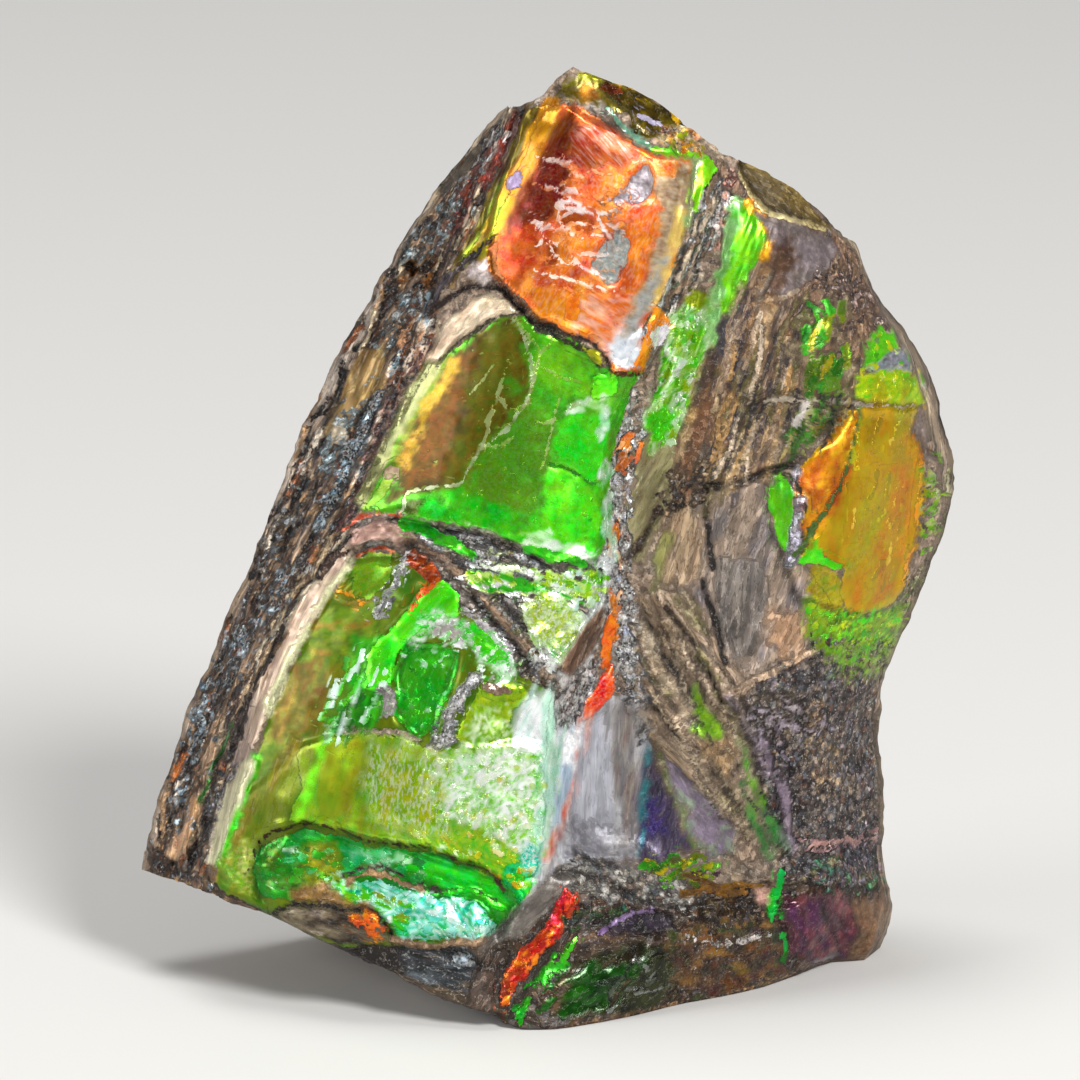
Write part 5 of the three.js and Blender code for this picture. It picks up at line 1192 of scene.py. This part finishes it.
def layOut(mesh):
    position = readCorners(mesh, mesh.vertices, "co", 3)
    normal = readCorners(mesh, mesh.vertex_normals, "vector", 3)
    facing = readCorners(mesh, mesh.attributes["facing"].data, "value", 1)
    edges = numpy.empty(len(mesh.edges) * 2, int)
    mesh.edges.foreach_get("vertices", edges)
    edges = edges.reshape(-1, 2)
    places = toSheet(position)
    units = numpy.stack([sheet["footAcross"] + places[:, 0] * sheet["unitsPerMm"],
                         sheet["footDown"] - places[:, 1] * sheet["unitsPerMm"]], axis=1)
    wander = units.copy()
    for i, (size, reach) in enumerate(surface["warp"]):
        wander[:, 0] += reach * lumps(places, size, seeds["warpAcross"] + i)
        wander[:, 1] += reach * lumps(places, size, seeds["warpDown"] + i)
    strip = distanceToPath(units, guideEdge) / sheet["unitsPerMm"]
    strip *= numpy.where(depthInside(units, rightOfGuide) > 0, 1, -1)
    isFront = smoothStep(*surface["paintFacing"], facing)
    bands, grain = beddingOf(places, normal)
    rough = (1 - isFront) * bareShale["relief"] * (bands - 0.5)
    rise = numpy.zeros(len(places))
    for height, outline in framePlates:
        depth = depthInside(places[:, :2], placesOf(outline))
        rise -= height * smoothStep(-frameSlope, frameSlope, depth) * isFront

    # Each corner holds the look on both sides of the nearest patch edge and its distance to it in mm, so that
    # the material can draw that edge finer than the corners lie. A look is a colour and its finish's values.
    finish = numpy.tile(finishes["shale"], (len(places), 1))
    looks = numpy.column_stack([tintRamp(bareShale["tints"], bands), finish])
    under, over = looks.copy(), looks.copy()
    reach = surface["edgeReach"]
    fadeFrom, fadeTo = surface["edgeFade"]
    gap = numpy.full(len(places), reach)
    crevice = numpy.zeros(len(places))
    frontDepth = (facing - surface["rimFacing"]) * surface["rimReach"]
    ragged = lumps(places, surface["swell"][0], seeds["swell"])
    seed = seeds["patches"]
    byAcross = numpy.argsort(wander[:, 0])
    sortedAcross = wander[byAcross, 0]
    for zone in frontZones:
        for patch in singlePatches(zone.values()):
            seed += seeds["perPatch"]
            low, high = patchBox(patch)
            first, last = numpy.searchsorted(sortedAcross, (low[0], high[0]))
            near = byAcross[first:last]
            near = near[(wander[near, 1] > low[1]) & (wander[near, 1] < high[1]) & (isFront[near] > 0)]
            if not len(near):
                continue
            depth = patchDepth(patch, wander[near], ragged[near])
            step = smoothStep(-patch["edge"] / 2, patch["edge"] / 2, depth) * isFront[near]
            rise[near] += patch["lift"] * step
            if not patch["tints"]:
                continue
            across = grainPlaces(patch, places[near], strip[near])
            value = mottle(across, patch["size"], seed)
            isSoft = patch["blur"] > surface["softBlur"]
            fray = sum(far * lumps(across, size, seed + seeds["feather"]) for size, far in surface["feather"])
            spreadDepth = depth + isSoft * fray * patch["blur"]
            cover = smoothStep(-patch["blur"], patch["blur"], spreadDepth) * isFront[near]
            rise[near] += patch["relief"] * (value - 0.5) * cover
            grain[near] += (cover > 0.5)[:, None] * (across - grain[near])
            finish = numpy.tile(finishes[patch["finish"]], (len(near), 1))
            look = numpy.column_stack([tintRamp(patch["tints"], value), finish])
            if isSoft:
                cover = (cover * patch["share"])[:, None]
                under[near] += cover * (look - under[near])
                over[near] += cover * (look - over[near])
                continue
            depth = numpy.minimum(depth / sheet["unitsPerMm"], frontDepth[near])
            isOver = (gap[near] > 0)[:, None]
            now = under[near] + isOver * (over[near] - under[near])
            look = now + patch["share"] * (look - now)
            # away from the edge both sides come to be alike, so that nothing shows where its line ends
            fade = smoothStep(fadeFrom * reach, fadeTo * reach, numpy.abs(depth))
            taken = (depth > 0) | ((depth > -reach) & (numpy.abs(depth) < numpy.abs(gap[near])))
            inside = (depth > 0)[:, None]
            outer = now + (inside * fade[:, None]) * (look - now)
            inner = look + (~inside * fade[:, None]) * (now - look)
            under[near[taken]] = outer[taken]
            over[near[taken]] = inner[taken]
            gap[near[taken]] = numpy.minimum(depth[taken], reach)
            crevice[near[taken]] = patch["crevice"] * (1 - fade[taken])

    isOver = (gap > 0)[:, None]
    shell = numpy.where(isOver, over, under)[:, 3]
    stone = 1 - shell
    for i, (size, height) in enumerate(surface["grit"]):
        rough += stone * height * lumps(places, size, seeds["grit"] + i)
    rough += shell * surface["shellWave"][1] * lumps(places, surface["shellWave"][0], seeds["shellWave"])
    aboveFoot = smoothStep(surface["flatFoot"], 3 * surface["flatFoot"], position[:, 2] / mm)
    position += ((rise * aboveFoot)[:, None] * toFront + (rough * aboveFoot)[:, None] * normal) * mm

    reliefTone = reliefToneOf(edges, position, normal, stone)[:, None]
    mesh.vertices.foreach_set("co", position.ravel())
    ones = numpy.ones((len(places), 1))
    for name, side in (("under", under), ("over", over)):
        writeCorners(mesh, name + "Colour", "FLOAT_COLOR", "color", numpy.hstack([side[:, :3] * reliefTone, ones]))
        writeCorners(mesh, name + "Finish", "FLOAT_COLOR", "color", side[:, 3:])
    writeCorners(mesh, "gap", "FLOAT", "value", gap)
    writeCorners(mesh, "crevice", "FLOAT", "value", crevice)
    writeCorners(mesh, "grain", "FLOAT_VECTOR", "vector", grain)


def addNode(tree, kind, inputs=None, **settings):
    # an input is a value, a socket, or a node whose first live output is taken
    node = tree.nodes.new("ShaderNode" + kind)
    for name, value in settings.items():
        setattr(node, name, value)
    for name, value in (inputs or {}).items():
        if isinstance(value, bpy.types.Node):
            value = next(socket for socket in value.outputs if socket.enabled)
        if isinstance(value, bpy.types.NodeSocket):
            tree.links.new(value, node.inputs[name])
        else:
            node.inputs[name].default_value = value
    return node


def span(side, ends):
    # both ends of a Map Range node's From or To
    return {side + " Min": ends[0], side + " Max": ends[1]}


nacre = {
    "speck": 0.16,  # sizes of the grain and flakes in mm
    "flake": 0.45,
    "cloud": 1.4,
    "streaks": 3.2,  # growth lines and bedding about 0.3 mm apart
    "scratches": 6.5,
    "facets": 2.4,  # splinters and crystals about 0.4 mm wide
    "facetBend": (0.3, 0.3, 0.3),
    "facetGrit": (0.2, 0.9),  # grit from which facets show, and from which they are full
    "noise": (0.3, 0.7),  # what a noise mostly ranges over
    "cloudNoise": (0.7, 1.3),  # the same for two added up
    "ragged": (0.102, 0.34),  # mm that the edges of smooth and of gritty patches wander
    "flakedEdge": (-0.7, 0.7),  # the shares of that by flakes and by specks
    "speckedEdge": (-0.3, 0.3),
    "edgeBlur": (-0.02, 0.02),  # mm
    "crevice": (-0.03, 0.045),  # where the painted shade line round a patch lies, and half its width, in mm
    # the colour of the painted shade line round each patch
    "creviceShade": "#0C0908",
    "stoneStreaks": (0.62, 1.38),  # darkest and lightest
    "shellStreaks": (0.88, 1.1),
    "facetTones": (0.55, 1.5),
    "hues": (0.485, 0.515),  # how far the shell's colours drift, 0.5 being none
    "saturation": (1.05, 1.25),  # of shale, of shell
    "crease": (0.5, 0.018),  # the level of the streaks that it follows, and how near
    "ridge": (0.59, 0.012),
    "edgeHeight": 0.03,  # heights in mm
    "streakHeight": 0.06,
    "speckHeight": 0.05,
    "facetHeight": 0.9,
    "dulled": (-0.08, 0.08),  # how roughness varies by flakes
    "metallic": 0.55,
    "coat": 0.08,
    "coatRoughness": 0.1,
    "shine": 0.32,
    "ior": 1.5,
}
overlays = {  # the values it starts and is full at, the most that it hides, its colour
    "crease": (0, 1, 0.55, "#0C0908"),
    "ridge": (0, 1, 0.22, "#E6DED2"),
    "rustyFacet": (0.75, 0.95, 0.4, "#8A5028"),
    "slateFacet": (0.75, 0.95, 0.35, "#7E8C9C"),
    "facetGap": (0.42, 0.66, 0.9, "#0C0908"),
    "pit": (0.42, 0.34, 0.6, "#0C0908"),
    "fleck": (0.62, 0.7, 0.55, "#E6DED2"),
    # frost: fine white scratches, partly painted highlight where patches are frosted or powdered
    "frost": (0.46, 0.6, 1.0, "#EEF4EE"),
}


def makeShaleAndNacre():
    # Aragonite nacre, the iridescent shell of an ammonite, on clay shale. The nacre is smooth, mirrors the
    # lights under its colour and is streaked along its growth lines. The shale is dull and flecked.
    material = bpy.data.materials.new("nacre_on_shale")
    material.use_nodes = True
    tree = material.node_tree
    tree.nodes.clear()
    add = functools.partial(addNode, tree)
    noise = span("From", nacre["noise"])
    place = add("TexCoord").outputs["Object"]
    grain = add("Attribute", attribute_name="grain").outputs["Vector"]
    speck = add("TexNoise", {"Vector": place, "Scale": 1 / (nacre["speck"] * mm), "Detail": 2})
    flake = add("TexNoise", {"Vector": place, "Scale": 1 / (nacre["flake"] * mm), "Detail": 3})
    cloud = add("TexNoise", {"Vector": place, "Scale": 1 / (nacre["cloud"] * mm), "Detail": 1})
    streak = add("TexNoise", {"Vector": grain, "Scale": nacre["streaks"], "Detail": 3})
    scratch = add("TexNoise", {"Vector": grain, "Scale": nacre["scratches"], "Detail": 2})

    # the ragged edge between the looks on its two sides, more broken where the upper one is gritty
    sides = {name: add("Attribute", attribute_name=name)
             for name in ("underColour", "overColour", "underFinish", "overFinish", "gap", "crevice")}
    overParts = add("SeparateColor", {"Color": sides["overFinish"].outputs["Color"]})
    reach = add("MapRange", {"Value": overParts.outputs["Blue"], **span("To", nacre["ragged"])})
    flaked = add("MapRange", {"Value": flake, **noise, **span("To", nacre["flakedEdge"])})
    specked = add("MapRange", {"Value": speck, **noise, **span("To", nacre["speckedEdge"])})
    broken = add("Math", {0: flaked, 1: specked}, operation="ADD")
    gap = add("Math", {0: broken, 1: reach, 2: sides["gap"].outputs["Fac"]}, operation="MULTIPLY_ADD")
    isOver = add("MapRange", {"Value": gap, **span("From", nacre["edgeBlur"])})
    colour = add("Mix", {"Factor": isOver, 6: sides["underColour"].outputs["Color"],
                         7: sides["overColour"].outputs["Color"]}, data_type="RGBA")
    finish = add("Mix", {"Factor": isOver, 6: sides["underFinish"].outputs["Color"],
                         7: sides["overFinish"].outputs["Color"]}, data_type="RGBA")
    frost = add("MapRange", {"Value": isOver, "To Min": sides["underFinish"].outputs["Alpha"],
                             "To Max": sides["overFinish"].outputs["Alpha"]})
    parts = add("SeparateColor", {"Color": finish}).outputs
    isShell, roughness, grit = parts["Red"], parts["Green"], parts["Blue"]
    isStone = add("Math", {0: 1.0, 1: isShell}, operation="SUBTRACT")

    # splinters and crystals: small facets, each with its own tone and tilt, dark where they meet
    bent = add("VectorMath", {0: streak.outputs["Color"], 1: nacre["facetBend"], 2: grain},
               operation="MULTIPLY_ADD")
    facet = add("TexVoronoi", {"Vector": bent, "Scale": nacre["facets"]})
    facetTone = add("SeparateColor", {"Color": facet.outputs["Color"]}).outputs
    fromMiddle = add("VectorMath", {0: bent, 1: facet.outputs["Position"]}, operation="SUBTRACT")
    leaning = add("VectorMath", {0: facet.outputs["Color"], 1: (0.5, 0.5, 0.5)}, operation="SUBTRACT")
    tilt = add("VectorMath", {0: fromMiddle, 1: leaning}, operation="DOT_PRODUCT").outputs["Value"]
    gritty = add("MapRange", {"Value": grit, **span("From", nacre["facetGrit"])})
    splintered = add("Math", {0: isStone, 1: gritty}, operation="MULTIPLY")

    # shale is streaked by its bedding, nacre only faintly by its growth lines
    bedding = add("MapRange", {"Value": streak, **noise, **span("To", nacre["stoneStreaks"])})
    facetLight = add("MapRange", {"Value": facetTone["Red"], **span("To", nacre["facetTones"])})
    stoneTone = add("Math", {0: bedding, 1: facetLight}, operation="MULTIPLY")
    shellTone = add("MapRange", {"Value": streak, **noise, **span("To", nacre["shellStreaks"])})
    tone = add("MapRange", {"Value": isShell, "To Min": stoneTone, "To Max": shellTone})
    clouded = add("Math", {0: cloud, 1: flake}, operation="ADD")
    hueShift = add("MapRange", {"Value": clouded, **span("From", nacre["cloudNoise"]),
                                **span("To", nacre["hues"])})
    hue = add("MapRange", {"Value": isShell, "To Min": 0.5, "To Max": hueShift})
    strong = add("MapRange", {"Value": isShell, **span("To", nacre["saturation"])})
    colour = add("HueSaturation", {"Hue": hue, "Value": tone, "Saturation": strong, "Color": colour})

    # what lies over the colour: the value that brings it out and what limits it
    crease = add("Math", {0: streak, 1: nacre["crease"][0], 2: nacre["crease"][1]}, operation="COMPARE")
    ridge = add("Math", {0: streak, 1: nacre["ridge"][0], 2: nacre["ridge"][1]}, operation="COMPARE")
    laid = {
        "crease": (crease, isStone),
        "ridge": (ridge, isStone),
        "rustyFacet": (facetTone["Green"], splintered),
        "slateFacet": (facetTone["Blue"], splintered),
        "facetGap": (facet.outputs["Distance"], splintered),
        "pit": (speck, grit),
        "fleck": (speck, grit),
        "frost": (scratch, frost),
    }
    for name, (value, limit) in laid.items():
        low, high, most, tint = overlays[name]
        share = add("MapRange", {"Value": value, "From Min": low, "From Max": high, "To Max": most})
        share = add("Math", {0: share, 1: limit}, operation="MULTIPLY")
        colour = add("Mix", {"Factor": share, 6: colour, 7: (*toLinear(tint), 1)}, data_type="RGBA")
    # a painted shade line along each patch's edge, as dark as the patch's crevice value
    fromEdge = add("Math", {0: gap, 1: nacre["crevice"][0], 2: nacre["crevice"][1]}, operation="COMPARE")
    line = add("Math", {0: fromEdge, 1: sides["crevice"].outputs["Fac"]}, operation="MULTIPLY")
    colour = add("Mix", {"Factor": line, 6: colour, 7: (*toLinear(nacre["creviceShade"]), 1)}, data_type="RGBA")
    height = add("Math", {0: isOver, 1: nacre["edgeHeight"]}, operation="MULTIPLY")
    stands = [(streak, nacre["streakHeight"], isStone), (speck, nacre["speckHeight"], grit),
              (tilt, nacre["facetHeight"], splintered)]
    for value, tall, limit in stands:
        part = add("Math", {0: value, 1: tall}, operation="MULTIPLY")
        height = add("Math", {0: part, 1: limit, 2: height}, operation="MULTIPLY_ADD")
    bump = add("Bump", {"Strength": 1, "Distance": mm, "Height": height})
    dulled = add("MapRange", {"Value": flake, **noise, **span("To", nacre["dulled"])})
    shader = add("BsdfPrincipled", {
        "Base Color": colour,
        "Metallic": add("Math", {0: isShell, 1: nacre["metallic"]}, operation="MULTIPLY"),
        "Roughness": add("Math", {0: roughness, 1: dulled}, operation="ADD"),
        "IOR": nacre["ior"],
        "Specular IOR Level": nacre["shine"],
        "Coat Weight": add("Math", {0: isShell, 1: nacre["coat"]}, operation="MULTIPLY"),
        "Coat Roughness": nacre["coatRoughness"],
        "Coat IOR": nacre["ior"],
        "Normal": bump,
    })
    add("OutputMaterial", {"Surface": shader})
    return material


def makeSpecimen():
    mesh = makeFineMesh()
    layOut(mesh)
    mesh.materials.append(makeShaleAndNacre())
    mesh.shade_smooth()
    mesh.update()
    specimen = bpy.data.objects.new("ammolite_surface", mesh)
    bpy.context.scene.collection.objects.link(specimen)
    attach(specimen, "root")
    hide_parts("ammolite_specimen")
    print("specimen painted")


studio = {
    "floorReach": 1.5,
    "floorBelow": 0.00005,
    "floor": "#DAD8D4",
    "floorRoughness": 0.9,
    "world": "#F2F4F8",
    "worldStrength": 0.26,
    "aim": (0, 0, 0.025),
    "lamps": [  # name, direction from the piece, distance, size, power
        ("key", (0.5, -0.75, 0.75), 0.6, 0.2, 3.45),
        ("fill", (-1.0, -0.35, 0.35), 0.6, 0.3, 1.5),
        ("top", (-0.1, 0.25, 1.0), 0.5, 0.25, 1.0),
    ],
}


def makeFloor():
    shape = bmesh.new()
    bmesh.ops.create_grid(shape, x_segments=2, y_segments=2, size=studio["floorReach"])
    bmesh.ops.translate(shape, verts=shape.verts, vec=(0, 0, -studio["floorBelow"]))
    mesh = bpy.data.meshes.new("floor")
    shape.to_mesh(mesh)
    shape.free()
    paper = bpy.data.materials.new("pale_paper")
    paper.use_nodes = True
    shader = paper.node_tree.nodes["Principled BSDF"]
    shader.inputs["Base Color"].default_value = (*toLinear(studio["floor"]), 1)
    shader.inputs["Roughness"].default_value = studio["floorRoughness"]
    mesh.materials.append(paper)
    floor = bpy.data.objects.new("floor", mesh)
    bpy.context.scene.collection.objects.link(floor)


def makeLights():
    world = bpy.data.worlds.new("studio")
    world.use_nodes = True
    background = world.node_tree.nodes["Background"]
    background.inputs["Color"].default_value = (*toLinear(studio["world"]), 1)
    background.inputs["Strength"].default_value = studio["worldStrength"]
    bpy.context.scene.world = world
    for name, direction, distance, size, power in studio["lamps"]:
        light = bpy.data.lights.new(name, "AREA")
        light.shape = "DISK"
        light.size = size
        light.energy = power
        lamp = bpy.data.objects.new(name, light)
        toLamp = Vector(direction).normalized()
        lamp.location = Vector(studio["aim"]) + toLamp * distance
        lamp.rotation_euler = toLamp.to_track_quat("Z", "Y").to_euler()
        bpy.context.scene.collection.objects.link(lamp)


cameraView = {
    "lens": 600,  # long, so that the view stays close to the flat sheet
    "sensor": 36,
    "clipEnd": 100,
    "focus": 5,  # mm that the middle of the view lies in front of the sheet
}


def makeCamera():
    side = sheet["side"] / sheet["unitsPerMm"]
    middle = sheet["side"] / 2
    target = fromSheet((middle - sheet["footAcross"]) / sheet["unitsPerMm"],
                       (sheet["footDown"] - middle) / sheet["unitsPerMm"], cameraView["focus"])
    view = bpy.data.cameras.new("view")
    view.lens = cameraView["lens"]
    view.sensor_width = cameraView["sensor"]
    view.clip_end = cameraView["clipEnd"]
    camera = bpy.data.objects.new("camera", view)
    camera.location = target + toFront * side * mm * view.lens / view.sensor_width
    camera.rotation_euler = (math.pi / 2 - sheet["lean"], 0, 0)
    bpy.context.scene.collection.objects.link(camera)
    bpy.context.scene.camera = camera


makeCamera()
makeSpecimen()
makeFloor()
makeLights()
bpy.context.scene.view_settings.view_transform = "Standard"
print("studio ready")
